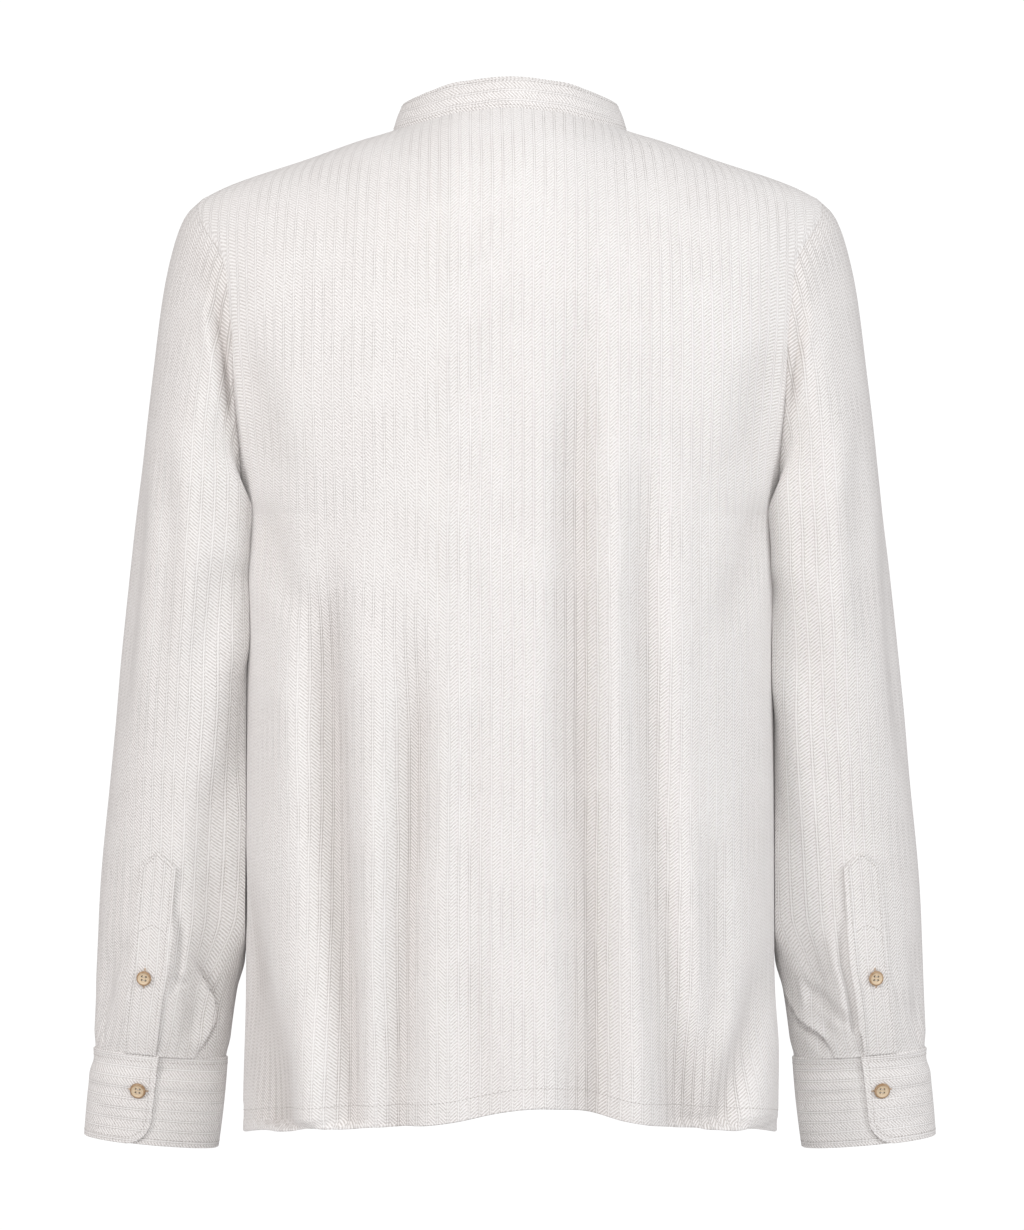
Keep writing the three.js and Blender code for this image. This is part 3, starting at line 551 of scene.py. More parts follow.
def panelPoints(side, shares, rises, turns, folds=True):
    # Below the underarm the rows fan from the hem; above it each row ends at a turn of the armhole
    lean = np.sin(np.pi / 2 * shares)[None, :]
    bottom = hemHeight(side, halfWidthAt(hems[side]["side"]) * lean)
    lowZ = blend(bottom, body["underarmZ"], rises[:, None])
    low = bodyPoints(side, halfWidthAt(lowZ) * lean, lowZ, folds)
    edge = armholePoints(side, turns)[:, None, :]
    bend = np.arcsin(np.clip(edge[..., 0] / halfWidthAt(edge[..., 2]), 0, 1))
    x = edge[..., 0] * np.sin(shares[None, :] * bend) / np.sin(bend)
    half = body["neckHalfWidth"]
    neckZ = neckPoints(side, np.clip(x, 0.01 - half, half - 0.01))[..., 2]
    top = np.where(np.abs(x) < half, neckZ, shoulderAt(np.abs(x)))
    rise = (edge[..., 2] - body["underarmZ"]) / (shoulderAt(edge[..., 0]) - body["underarmZ"])
    high = bodyPoints(side, x, blend(body["underarmZ"], top, rise), folds)
    last = np.abs(x[-1]) < half + 1e-6
    high[-1, last] = neckPoints(side, np.clip(x[-1, last], -half, half))
    for column in np.flatnonzero(np.isclose(np.abs(shares), 1)):
        high[:, column] = edge[:, 0] * (np.sign(shares[column]), 1, 1)
    return np.concatenate([low, high])


def smoothPath(path, count=25):
    # The same path as short steps of a smooth curve through its points, by length along them
    path = np.asarray(path, float)
    lengths = np.concatenate([[0], np.cumsum(np.linalg.norm(np.diff(path, axis=0), axis=1))])
    even = np.linspace(0, lengths[-1], count)
    return np.stack([smoothCurve(lengths, path[:, k])(even) for k in range(2)], -1)


def pathDistance(points, path):
    # Shortest distance from each point of a flat grid to a broken line, how far along that is, and its side
    best = np.full(points.shape[:-1], 1e9)
    along, side = np.zeros(best.shape), np.zeros(best.shape)
    steps = np.diff(path, axis=0)
    before = 0.0
    for start, step, length in zip(path[:-1], steps, np.linalg.norm(steps, axis=1)):
        away = points - start
        t = np.clip((away @ step) / length ** 2, 0, 1)
        gap = np.linalg.norm(away - t[..., None] * step, axis=-1)
        near = gap < best
        best = np.where(near, gap, best)
        along = np.where(near, before + t * length, along)
        side = np.where(near, np.sign(step[1] * away[..., 0] - step[0] * away[..., 1]), side)
        before += length
    return best, along / before, side


def crease(path, depth, width, fadeIn=0.3, fadeOut=0.3, atTop=False):
    return {"path": path, "depth": depth, "width": width,
            "fadeIn": fadeIn, "fadeOut": fadeOut, "atTop": atTop}


def pleat(path, drop, dropWidth, swell, swellWidth, fadeIn=0.2, fadeOut=0.2):
    return {"path": path, "drop": drop, "dropWidth": dropWidth, "swell": swell, "swellWidth": swellWidth,
            "fadeIn": fadeIn, "fadeOut": fadeOut}


def fading(along, line, end=1.0):
    # Nothing at both ends of the path, whole between
    return smoothStep(along, 0, line["fadeIn"]) * (1 - smoothStep(along, 1 - line["fadeOut"], end))


def creasePush(flat, creases):
    # Each crease is a soft trough along its path, fading at both ends, with a low swell beside it
    push = np.zeros(flat.shape[:-1])
    for line in creases:
        gap, along, _ = pathDistance(flat, np.asarray(line["path"], float))
        trough = np.exp(-0.5 * (gap / line["width"]) ** 2)
        swell = np.exp(-0.5 * ((gap - 2.1 * line["width"]) / line["width"]) ** 2)
        push = push + line["depth"] * fading(along, line) * (trough - 0.35 * swell)
    return push


def pleatPush(flat, pleats):
    # A step across each path: the cloth swells out on one side and drops away on the other, both fading
    push = np.zeros(flat.shape[:-1])
    for line in pleats:
        gap, along, side = pathDistance(flat, smoothPath(line["path"]))
        signed = gap * side
        outer = line["drop"] * np.exp(-((np.maximum(signed, 0) / line["dropWidth"]) ** 2))
        swell = -line["swell"] * np.exp(-((np.minimum(signed, 0) / line["swellWidth"]) ** 2))
        push = push + fading(along, line, 1.0001) * blend(swell, outer, smoothStep(signed, -0.9, 0.9))
    return push


# Creases of the panels, as paths of places across and heights
panelCreases = {
    1: [
        crease([(124, -270), (126, -388), (122, -480), (114, -590), (110, -690)], 13, 11, fadeOut=0.02),
        crease([(66, -330), (66, -438), (73, -560), (80, -690)], 11.5, 9.5, fadeOut=0.02),
        crease([(-48, -95), (-45, -240), (-44, -405), (-54, -570), (-54, -690)], 11.5, 11, fadeOut=0.02),
        crease([(-92, -200), (-92, -350), (-100, -515), (-118, -690)], 8, 9.5, fadeOut=0.02),
        crease([(-175, -560), (-166, -620), (-148, -688)], 8, 8, fadeIn=0.6, fadeOut=0.05),
        crease([(186, -490), (180, -600), (170, -690)], 10, 13, fadeIn=0.6, fadeOut=0.02),
        crease([(-112, -590), (-122, -690)], 7, 16, fadeIn=0.8, fadeOut=0.02),
        crease([(154, -560), (156, -690)], 7, 13, fadeIn=0.8, fadeOut=0.02),
        crease([(-138, -470), (-140, -570), (-134, -690)], 3, 8, fadeOut=0.05),
        crease([(20, -560), (24, -620), (12, -690)], 3, 10, fadeOut=0.05),
        crease([(140, -420), (144, -520), (136, -640)], 3, 10),
        crease([(-144, -570), (-142, -690)], 7, 13, fadeIn=0.8, fadeOut=0.02),
        crease([(176, -250), (160, -300), (140, -352)], 3.5, 9),
        crease([(-176, -250), (-162, -305), (-146, -362)], 3.5, 9),
        crease([(186, -150), (168, -200), (158, -262)], 2.5, 10),
        crease([(-184, -140), (-170, -190), (-158, -258)], 2.5, 10),
        crease([(-10, -220), (-14, -300), (-18, -420)], 1.6, 12),
        crease([(30, -380), (26, -470), (30, -560)], 1.8, 10),
    ],
    -1: [
        crease([(165, -560), (158, -610), (150, -690)], 4, 9, fadeOut=0.05),
        crease([(-160, -550), (-156, -600), (-162, -690)], 4, 9, fadeOut=0.05),
        crease([(178, -252), (158, -296), (138, -330)], 4, 9),
        crease([(-178, -252), (-160, -300), (-136, -338)], 4, 9),
        crease([(172, -130), (150, -160), (140, -212)], 3, 10),
        crease([(-172, -128), (-152, -162), (-140, -220)], 3, 10),
        crease([(46, -300), (44, -420), (52, -560)], 2.4, 11),
        crease([(-42, -260), (-46, -380), (-40, -520)], 2.4, 11),
        crease([(60, -64), (48, -96), (26, -128)], 2.2, 8),
        crease([(-60, -64), (-50, -98), (-30, -132)], 2.2, 8),
    ],
}


def panelForm(side, shares, rises, turns):
    # Base surface, then the creases along its normals; seams stay in place, and the cloth swells beside them
    base = panelPoints(side, shares, rises, turns)
    smooth = panelPoints(side, shares, rises, turns, folds=False)
    normals = gridNormals(smooth, outward=(0, side, 0.2))
    push = creasePush(np.stack([base[..., 0], base[..., 2]], -1), panelCreases[side])
    edgeGap = np.minimum(np.abs(arcLengths(smooth, 1, 0)), np.abs(arcLengths(smooth, 1, len(shares) - 1)))
    edgeGap = np.where(np.abs(shares) > 0.3, edgeGap, 99)
    hold = smoothStep(1 - np.abs(shares), 0.0, 0.12)[None, :] * np.ones((len(base), 1))
    hold = hold * smoothStep(np.arange(len(base))[::-1], 0, 14)[:, None]
    rise = body["seamRise"] * np.exp(-(((edgeGap - body["seamRiseAt"]) / 2.5) ** 2))
    rise[:len(rises)] *= 0.4
    points = base - normals * (push * hold - rise)[..., None]
    centre = int(np.argmin(np.abs(shares)))
    uv = clothPlaces(smooth, (0, 0, 1), centre) * (-1 if shares[-1] < shares[0] else 1, 1)
    # Painted shade: the crease depth, as a share of a deep crease, darkens the cloth in the troughs
    fold = np.clip(push * hold / body["fullShadeCreaseDepth"], 0, 1)
    return points, gridNormals(points, outward=(0, side, 0.2)), uv, fold


def seamFinish(points, normals, side, rises):
    # The side and shoulder seams lie in one plane, so their normals have no part across it
    count = len(rises)
    for column in (0, -1):
        if abs(points[0, column, 1] - body["ridgeY"]) < 1:
            normals[:count, column, 1] = 0
            height = points[:count, column, 2] - points[0, column, 2]
            gape = 1 - smoothStep(height, body["ventHeight"] - 3, body["ventHeight"] + 2)
            points[:count, column, 1] += side * body["ventHalfOpening"] * gape
            if side > 0:
                near = np.exp(-((np.abs(np.arange(points.shape[1]) - column % points.shape[1]) / 3.0) ** 2))
                shift = np.sign(points[0, column, 0]) * body["ventInset"] * gape[:, None] * near[None, :]
                points[:count, :, 0] -= shift
    shoulder = np.abs(points[-1, :, 0]) >= body["neckHalfWidth"] - 1e-6
    normals[-1, shoulder, 1] = 0
    return points, unit(normals)


def hemThickness(points):
    # Doubled over the hem band, with a soft step
    height = points[..., 2] - points[:1, :, 2]
    above = smoothStep(height, body["hemBand"] - 1, body["hemBand"] + 2)
    return blend(cloth["doubledWall"], cloth["wall"], above)


rises = np.concatenate([np.linspace(0, 0.05, 12)[:-1], np.linspace(0.05, 1, 88)])
turns = np.linspace(0, 180, 71)[1:]
panelHalf = halfShares(56)
backShares = np.concatenate([-panelHalf[:0:-1], panelHalf])

backPoints, backNormals, backUv, backPaintedShade = panelForm(1, backShares, rises, turns)
backPoints, backNormals = seamFinish(backPoints, backNormals, 1, rises)
clothWall("backPanel", (backPoints, backNormals, backUv), hemThickness(backPoints), backCloth,
          node="back_panel", fold=backPaintedShade)
print("back made")

overlapShare = float(np.interp(body["overlap"], neckPlaces, panelHalf[:len(neckPlaces)]))
frontShares = np.concatenate([np.linspace(-overlapShare, 0, 9)[:-1], panelHalf])
frontGrids = {}
for name, sign in (("left", 1), ("right", -1)):
    shares = (frontShares * sign)[::sign]
    points, normals, uv, fold = panelForm(-1, shares, rises, turns)
    points, normals = seamFinish(points, normals, -1, rises)
    frontGrids[name] = points, normals
    if name == "right":
        tuck = 1 - smoothStep(shares * sign, overlapShare, overlapShare * 2.9)
        points = points - normals * (body["underInset"] * tuck)[None, :, None]
    clothWall("front" + name.capitalize(), (points, normals, uv), hemThickness(points), backCloth,
              node="front_" + name, fold=fold)
print("fronts made")


# Sleeves: rings that fan round the underarm, from the armhole to the cuff seam

sleeve = {
    "share": [0, 0.02, 0.06, 0.12, 0.22, 0.34, 0.46, 0.58, 0.7, 0.82, 0.89, 0.92, 1],
    "outerX": [219, 228, 236, 243, 250, 257.6, 265.3, 273.2, 281.3, 289.1, 291.6, 292.6, 295],
    "outerZ": [-51, -61, -82, -115, -172, -240, -310, -382, -456, -532, -580, -601, -645.5],
    "innerX": [187.5, 187.9, 188.3, 188.2, 187.2, 186.5, 186, 185.6, 185.5, 186, 187.6, 193, 199.8],
    "innerZ": [-270, -272.5, -276, -282, -294, -315, -348, -397, -461, -535, -583, -604, -652.3],
    "halfDepth": [70, 73, 75, 77, 77, 75, 71, 64, 56, 50, 46, 44, 33],
    "centreY": [-3, -3, -4, -4, -5, -7, -9, -12, -18, -25, -28, -30, -34],
}
cuffEnd = {"outerX": 302, "outerZ": -707, "innerX": 206.7, "innerZ": -716, "halfDepth": 30, "centreY": -37}
sleeveCurves = curvesOf(sleeve, "share")
sleeveLength, sleeveRadius = 605.0, 52.0

# Pleats and creases of each sleeve, as paths of angle from the outer side and share of the way down
sleeveFolds = [
    {"angle": 122, "start": 0.8, "depth": 5, "width": 9},
    {"angle": 28, "start": 0.84, "depth": 4, "width": 10},
    {"angle": 232, "start": 0.8, "depth": 5, "width": 11},
    {"angle": 300, "start": 0.84, "depth": 4, "width": 11},
]
sleeveCreases = {
    "left": [
        crease([(98, 0.84), (98.5, 0.88), (97, 0.93)], 4.2, 2.6, fadeIn=0.3, fadeOut=0.3),
        crease([(99, 0.905), (106, 0.911), (113, 0.912)], 2.0, 2.0, fadeIn=0.1, fadeOut=0.6),
        crease([(60, 0.86), (40, 0.90), (30, 0.95)], 3, 8),
        crease([(150, 0.30), (120, 0.42), (104, 0.60)], 4, 11),
        crease([(60, 0.22), (74, 0.40), (70, 0.62)], 4, 11),
        crease([(170, 0.46), (140, 0.56), (130, 0.74)], 5, 9),
        crease([(30, 0.30), (34, 0.48), (28, 0.66)], 3.5, 10),
        crease([(120, 0.66), (116, 0.78), (122, 0.88)], 4, 8),
        crease([(118, 0.022), (102, 0.026), (82, 0.028), (56, 0.018)], 9, 11, atTop=True),
        crease([(200, 0.35), (235, 0.50), (250, 0.72)], 4, 10),
        crease([(330, 0.25), (310, 0.45), (300, 0.70)], 4, 11),
        crease([(260, 0.12), (262, 0.30), (270, 0.46)], 3, 10),
        crease([(215, 0.60), (255, 0.64), (300, 0.60)], 4, 8),
    ],
    "right": [
        crease([(99, 0.84), (98, 0.89), (94.5, 0.975)], 4.2, 2.6, fadeIn=0.3, fadeOut=0.1),
        crease([(138, 0.911), (116, 0.938), (95, 0.966)], 2.6, 3.6, fadeIn=0.2, fadeOut=0.3),
        crease([(136, 0.905), (134, 0.93), (133, 0.95)], 1.6, 2.6, fadeIn=0.3, fadeOut=0.5),
        crease([(160, 0.32), (132, 0.44), (118, 0.62)], 4, 11),
        crease([(50, 0.20), (64, 0.38), (60, 0.58)], 4, 11),
        crease([(172, 0.50), (146, 0.62), (136, 0.80)], 5, 9),
        crease([(26, 0.36), (30, 0.54), (24, 0.72)], 3.5, 10),
        crease([(114, 0.022), (100, 0.024), (82, 0.024), (62, 0.018)], 5, 9, atTop=True),
        crease([(205, 0.33), (238, 0.48), (246, 0.70)], 4, 10),
        crease([(326, 0.28), (306, 0.48), (298, 0.74)], 4, 11),
        crease([(262, 0.14), (266, 0.32), (272, 0.50)], 3, 10),
        crease([(220, 0.58), (256, 0.62), (296, 0.57)], 4, 8),
    ],
}
sleevePleats = {
    "left": [
        pleat([(101, 0.888), (113, 0.892), (128, 0.909), (138, 0.929),
               (141, 0.948), (135.5, 0.972), (125, 1.0)],
              4.2, 6, 3.2, 12, fadeOut=0.01, fadeIn=0.4),
        pleat([(36, 1.0), (33, 0.975), (31, 0.95), (30, 0.925)],
              4.5, 3.5, 1.6, 9, fadeIn=0.01, fadeOut=0.5),
        pleat([(222, 0.92), (226, 0.96), (228, 1.0)],
              4, 8, 2.5, 12, fadeIn=0.6, fadeOut=0.01),
        pleat([(262, 0.93), (266, 0.965), (268, 1.0)],
              4, 8, 2.5, 12, fadeIn=0.6, fadeOut=0.01),
    ],
    "right": [
        pleat([(177, 0.905), (160, 0.93), (146, 0.953), (128, 0.972), (120, 0.986), (115, 1.0)],
              4.0, 7, 2.6, 10, fadeOut=0.01, fadeIn=0.25),
        pleat([(26, 1.0), (32, 0.975), (38, 0.94)],
              3, 5, 1.5, 10, fadeIn=0.01, fadeOut=0.6),
        pleat([(226, 0.92), (230, 0.96), (230, 1.0)],
              4, 8, 2.5, 12, fadeIn=0.6, fadeOut=0.01),
        pleat([(270, 0.93), (270, 0.965), (272, 1.0)],
              4, 8, 2.5, 12, fadeIn=0.6, fadeOut=0.01),
    ],
}

# How far the sleeves' inner back sides are pressed in where they lie against the body
contact = {"left": 15.0, "right": 14.0, "angle": 140.0, "spread": 26.0, "gap": 0.45}
# How strongly painted shade darkens the hollow along each armhole, and the share of that beside the body
sleeveShade = {"left": 1.5, "right": 0.7, "besideBody": 0.15}


def bodySide(y, z):
    # Half width of the body at a depth, from its superellipse
    deep = np.where(y > body["ridgeY"], depthAt[1](z), depthAt[-1](z))
    share = np.clip(np.abs(y - body["ridgeY"]) / deep, 0, 1)
    return halfWidthAt(z) * (1 - share ** body["power"]) ** (1 / body["power"])


def ringPoints(section, angle, inset=0.0):
    # Centre, plus the half axis times the cosine, plus the half depth times the sine
    halfX = (section["outerX"] - section["innerX"]) / 2
    halfZ = (section["outerZ"] - section["innerZ"]) / 2
    shrink = 1 - inset / np.hypot(halfX, halfZ)
    x = (section["outerX"] + section["innerX"]) / 2 + halfX * shrink * np.cos(angle)
    y = section["centreY"] + (section["halfDepth"] - inset) * np.sin(angle)
    z = (section["outerZ"] + section["innerZ"]) / 2 + halfZ * shrink * np.cos(angle)
    return np.stack(np.broadcast_arrays(x, y, z), -1)


def sleeveSection(share):
    return {column: curve(share) for column, curve in sleeveCurves.items()}


def laidFlat(lines, radius, length):
    # The same creases or pleats with their paths in millimetres, round and down
    return [{**line, "path": [(math.radians(a) * radius, s * length) for a, s in line["path"]]}
            for line in lines]


def sleevePoints(share, angle, name):
    # Ring of the sleeve's section, held to the armhole's own curve near the top
    share, angle = np.broadcast_arrays(np.asarray(share, float), np.asarray(angle, float))
    degrees = np.degrees(angle) % 360
    inset = np.zeros(share.shape)
    for fold in sleeveFolds:
        strength = smoothStep(share, fold["start"], fold["start"] + 0.12) * (1 - smoothStep(share, 0.96, 1))
        inset += fold["depth"] * strength * np.exp(-0.5 * ((degrees - fold["angle"]) / fold["width"]) ** 2)
    flat = np.stack([np.radians(degrees) * sleeveRadius, share * sleeveLength], -1)
    fromTop = smoothStep(share, 0.02, 0.2)
    creases = laidFlat(sleeveCreases.get(name, []), sleeveRadius, sleeveLength)
    pleats = laidFlat(sleevePleats.get(name, []), sleeveRadius, sleeveLength)
    lower, upper = ([one for one in creases if one["atTop"] == top] for top in (False, True))
    inset += creasePush(flat, lower) * (1 - smoothStep(share, 0.985, 1)) * fromTop
    inset += creasePush(flat, upper) * smoothStep(share, 0.0, 0.03)
    inset += pleatPush(flat, pleats) * (1 - 0.9 * smoothStep(share, 0.965, 1)) * fromTop
    inset += 1.4 * smoothStep(share, 0.975, 1.0)
    points = ringPoints(sleeveSection(share), angle, inset)
    # Against the body the inner side is pressed flat: a bell round it moves in, up to the body's own side
    pressed = contact.get(name, 0) * np.exp(-(((degrees - contact["angle"]) / contact["spread"]) ** 2))
    pressed = pressed * smoothStep(share, 0.01, 0.16) * (1 - smoothStep(share, 0.84, 0.91))
    pressed = pressed * (1 - smoothStep(points[..., 2], -245, -200))
    limit = np.minimum(points[..., 0], bodySide(points[..., 1], points[..., 2]) + contact["gap"])
    points[..., 0] = np.maximum(points[..., 0] - pressed, limit)
    hold = 1 - smoothStep(share, 0, 0.3)
    turn = np.where(degrees <= 180, 180 - degrees, degrees - 180)
    armhole = np.where((degrees <= 180)[..., None], armholePoints(1, turn), armholePoints(-1, turn))
    first = ringPoints(sleeveSection(np.zeros_like(share)), angle)
    return points + (armhole - first) * hold[..., None]


def mirrorX(points, sign):
    return points * np.array([sign, 1.0, 1.0])


def sleevePaintedShade(share, degrees, name):
    # Painted shade for the hollow along the armhole and beside the body, each a bell of the angle
    hollow = (1 - smoothStep(share, 0.015, 0.075)) * np.exp(-(((degrees - 92) / 38) ** 2))
    beside = smoothStep(share, 0.02, 0.2) * np.exp(-(((degrees - 152) / 26) ** 2))
    return sleeveShade[name] * np.maximum(hollow, sleeveShade["besideBody"] * beside)


sleeveShares = np.concatenate([np.linspace(0, 0.8, 106) ** 1.1 / 0.8 ** 0.1, np.linspace(0.8, 1, 96)[1:]])
sleeveDegrees = np.concatenate([np.arange(-150, 0, 3.6), np.arange(0, 180, 1.5), np.arange(180, 208, 3.6)])
sleeveAngles = np.radians(sleeveDegrees)
uvColumn = int(np.argmin(np.abs(sleeveAngles - math.radians(150))))
sides = (("left", 1, leftSleeveCloth), ("right", -1, rightSleeveCloth))
armAxis = (-0.06, 0, 1)
seamRise = body["seamRise"] * np.exp(-(((sleeveShares * sleeveLength - body["seamRiseAt"]) / 2.2) ** 2))
for name, sign, material in sides:
    points = mirrorX(sleevePoints(sleeveShares[:, None], sleeveAngles[None, :], name), sign)
    normals = gridNormals(points, wraps=True)
    points = points + normals * seamRise[:, None, None]
    plain = sleevePoints(sleeveShares[:, None], sleeveAngles[None, :], "")
    uv = clothPlaces(plain, armAxis, uvColumn, False) * (sign, 1)
    fold = sleevePaintedShade(sleeveShares[:, None], sleeveDegrees[None, :], name)
    clothWall("sleeve" + name.capitalize(), (points, normals, uv), cloth["wall"], material, wraps=True,
              slotName="trim_cloth", node="sleeve_" + name, fold=fold)
print("sleeves made")

# Collar band: it stands on the neckline, leans in and laps over itself at the front

band = {"height": 22.0, "sideLoss": 2.5, "lean": 12.0, "sideLean": 8.0, "corner": 8.0, "bulge": 0.7}


def cornerLift(away, radius):
    # Height of a quarter circle's gap at a distance from the edge
    left = np.clip(radius - away, 0, radius)
    return radius - np.sqrt(radius ** 2 - left ** 2)


def bandForm():
    # Stations once round the neckline; each rises along the leaning direction, with a sine for its bulge
    lap = math.asin(body["overlap"] / body["neckHalfWidth"])
    half = body["neckHalfWidth"]
    left = half * np.sin(np.linspace(-lap, math.pi / 2, 120))
    back = half * np.sin(np.linspace(math.pi / 2, -math.pi / 2, 180)[1:-1])
    right = -left[::-1]
    x = np.concatenate([left, back, right])
    side = np.concatenate([-np.ones(len(left)), np.ones(len(back)), -np.ones(len(right))])
    base = np.where(side[:, None] < 0, neckPoints(-1, x), neckPoints(1, x))
    turn = np.arcsin(np.clip(-x / half, -1, 1)) / (math.pi / 16)
    under = np.where(np.arange(len(x)) >= len(left) + len(back), 1 - smoothStep(turn, 1, 4), 0)
    drop = np.zeros(len(x))
    drop[:60] = cornerLift(x[:60] + body["overlap"], band["corner"])
    drop[-60:] = cornerLift(body["overlap"] - x[-60:], band["corner"])
    tangent = unit(np.gradient(base, axis=0))
    outward = np.stack([x / half ** 2, (base[:, 1] - body["ridgeY"]) / body["neckDepth"] ** 2, 0 * x], -1)
    up = unit(np.array([0, 0, 1.0]) - tangent * tangent[:, 2:])
    outward = unit(outward - tangent * (outward * tangent).sum(-1, keepdims=True))
    lean = np.radians(band["lean"] + band["sideLean"] * (x / half) ** 2)[:, None]
    rise = up * np.cos(lean) - outward * np.sin(lean)
    normal = outward * np.cos(lean) + up * np.sin(lean)
    base = base + rise * cloth["layerGap"] - normal * (body["underInset"] * under)[:, None]
    share = np.linspace(0, 1, 15)[:, None, None]
    tall = (band["height"] - band["sideLoss"] * (x / half) ** 6 - drop)[None, :, None] * share
    points = base + rise * tall + normal * band["bulge"] * np.sin(math.pi * share)
    along = np.concatenate([[0], np.cumsum(np.linalg.norm(np.diff(base, axis=0), axis=1))])
    along = along - along[len(left) + len(back) // 2]
    uv = np.stack(np.broadcast_arrays(tall[..., 0], along[None, :]), -1)
    return points, np.broadcast_to(normal, points.shape).copy(), uv, x


bandPoints, bandNormals, bandUv, bandX = bandForm()
clothWall("collarBand", (bandPoints, bandNormals, bandUv), cloth["doubledWall"], bandCloth,
          slotName="trim_cloth", node="collar_band")
print("collar made")

# Cuffs: a strip from the flap's edge round the outer side that ends under the flap

cuff = {
    "height": 62.0, "corner": 18.0, "flapAngle": 91.0, "underAngle": -304.0, "underInset": 3.0,
    "buttonAngle": 77.5, "buttonDown": 24.5, "rows": 26, "stitchInset": 4.0, "radius": 48.0, "bulge": 0.7,
    "columnWidth": 2.4, "flapStraight": 52, "flapColumns": 44,
}

# Soft creases of the cuffs, as paths of angle and share of the way down
cuffCreases = [
    crease([(95, 0.13), (40, 0.12), (-60, 0.13)], 1.3, 4.5, fadeIn=0.2),
    crease([(91, 0.44), (50, 0.42), (0, 0.40)], 1.0, 2.6, fadeIn=0.1),
    crease([(-300, 0.14), (-240, 0.13), (-180, 0.12)], 1.5, 4.5, fadeIn=0.1),
    crease([(-270, 0.40), (-225, 0.43), (-190, 0.44)], 1.0, 2.4, fadeIn=0.2),
    crease([(30, 0.70), (60, 0.78), (80, 0.74)], 0.8, 5.0),
]


def cuffSections(down):
    top = sleeveSection(np.ones(1))
    return {column: blend(top[column][0], cuffEnd[column], down) for column in cuffEnd}


flapAngles = np.linspace(cuff["flapAngle"], cuff["flapStraight"], cuff["flapColumns"])[:-1]
cuffAngles = np.concatenate([flapAngles, np.linspace(cuff["flapStraight"], cuff["underAngle"], 150)])


def cuffForm():
    # Rings of the cuff's own sections; the rows are squeezed where the flap's corner is rounded
    angle = np.radians(cuffAngles)[None, :]
    inset = (cuff["underInset"] * smoothStep(-cuffAngles, 190, 255))[None, :]
    lower = ringPoints(cuffSections(np.ones((1, 1))), angle)
    away = np.linalg.norm(lower - lower[:, :1], axis=-1)[0]
    away = np.where(cuffAngles > 0, away, cuff["corner"])
    lift = cornerLift(away, cuff["corner"]) / cuff["height"]
    start = cloth["layerGap"] / cuff["height"]
    share = np.linspace(0, 1, cuff["rows"])[:, None]
    down = start + (1 - start - lift[None, :]) * share
    points = ringPoints(cuffSections(down), angle, inset - cuff["bulge"] * np.sin(math.pi * share))
    around = arcLengths(ringPoints(cuffSections(np.full((1, 1), 0.5)), angle), 1)[0]
    normals = gridNormals(points, outward=points - points.mean((0, 1)))
    flat = np.stack(np.broadcast_arrays(angle * cuff["radius"], down * cuff["height"]), -1)
    creases = laidFlat(cuffCreases, cuff["radius"], cuff["height"])
    points = points - normals * creasePush(flat, creases)[..., None]
    normals = gridNormals(points, outward=points - points.mean((0, 1)))
    uv = np.stack(np.broadcast_arrays(-down * cuff["height"], around[None, :]), -1)
    return points, normals, uv, away, lift


cuffPoints, cuffNormals, cuffUv, cuffAway, cuffLift = cuffForm()
for name, sign, _ in sides:
    form = mirrorX(cuffPoints, sign), mirrorX(cuffNormals, sign), cuffUv * (1, sign)
    clothWall("cuff" + name.capitalize(), form, cloth["doubledWall"], bandCloth,
              slotName="trim_cloth", node="cuff_" + name)
print("cuffs made")

# Sleeve plackets: pointed strips on the sleeves' backs

placket = {
    "tip": 0.775, "shoulder": 0.79, "end": 0.998,
    "outerTop": 68, "innerTop": 95, "outerLow": 60, "innerLow": 89, "lift": 0.5, "edgeLift": 1.3,
    "stitchFrom": 0.785, "crossStitch": 0.858, "stitchInset": 2.0, "buttonShare": 0.905, "buttonAngle": 75.25,
}


def sleeveSurface(share, degrees, name):
    # Point of the sleeve and its normal, from the cross product of small steps down and round
    angle = np.radians(degrees)
    step = 0.002
    around = sleevePoints(share, angle + 0.02, name) - sleevePoints(share, angle - 0.02, name)
    down = sleevePoints(np.minimum(1, share + step), angle, name) - sleevePoints(share - step, angle, name)
    normal = unit(np.cross(around, down))
    normal = np.where(normal[..., 1:2] < 0, -normal, normal)
    return sleevePoints(share, angle, name), normal


def placketForm(name):
    # Strip between two angles of the sleeve, whose tip rises by a tent across it
    across, down = np.meshgrid(np.linspace(0, 1, 21), np.linspace(0, 1, 90))
    outer = blend(placket["outerTop"], placket["outerLow"], down)
    inner = blend(placket["innerTop"], placket["innerLow"], down)
    start = blend(placket["shoulder"], placket["tip"], 1 - np.abs(2 * across - 1))
    share = blend(start, placket["end"], down)
    points, normals = sleeveSurface(share, blend(outer, inner, across), name)
    edge = placket["edgeLift"] * smoothStep(across, 0.72, 1) * (1 - smoothStep(down, 0.93, 1))
    lifted = points + normals * (placket["lift"] + cloth["stripWall"] + edge)[..., None]
    return lifted, normals, clothPlaces(lifted, armAxis, 10, False)


placketGrids = {}
for name, sign, material in sides:
    points, normals, uv = placketForm(name)
    placketGrids[name] = mirrorX(points, sign), mirrorX(normals, sign)
    clothWall("sleevePlacket" + name.capitalize(), (*placketGrids[name], uv * (sign, 1)), cloth["stripWall"],
              material, slotName="trim_cloth", node="sleeve_placket_" + name)

# Front placket: the left front's own surface about the middle, moved out

placketShares = np.linspace(-overlapShare, overlapShare, 21)
points, stripNormals, uv, _ = panelForm(-1, placketShares, rises, turns)
stripPoints = points + stripNormals * (cloth["layerGap"] + cloth["stripWall"])
clothWall("frontPlacket", (stripPoints, stripNormals, uv), cloth["stripWall"], backCloth,
          slotName="trim_cloth", node="front_placket")
print("plackets made")


# Stitching: small pointed grains of thread along lines on the cloth

# The thread is coloured darker than the cloth: painted shade for the small pits along each row of stitches
thread = {"length": 1.9, "pitch": 2.7, "width": 0.5, "height": 0.22, "colour": (0.52, 0.49, 0.47)}


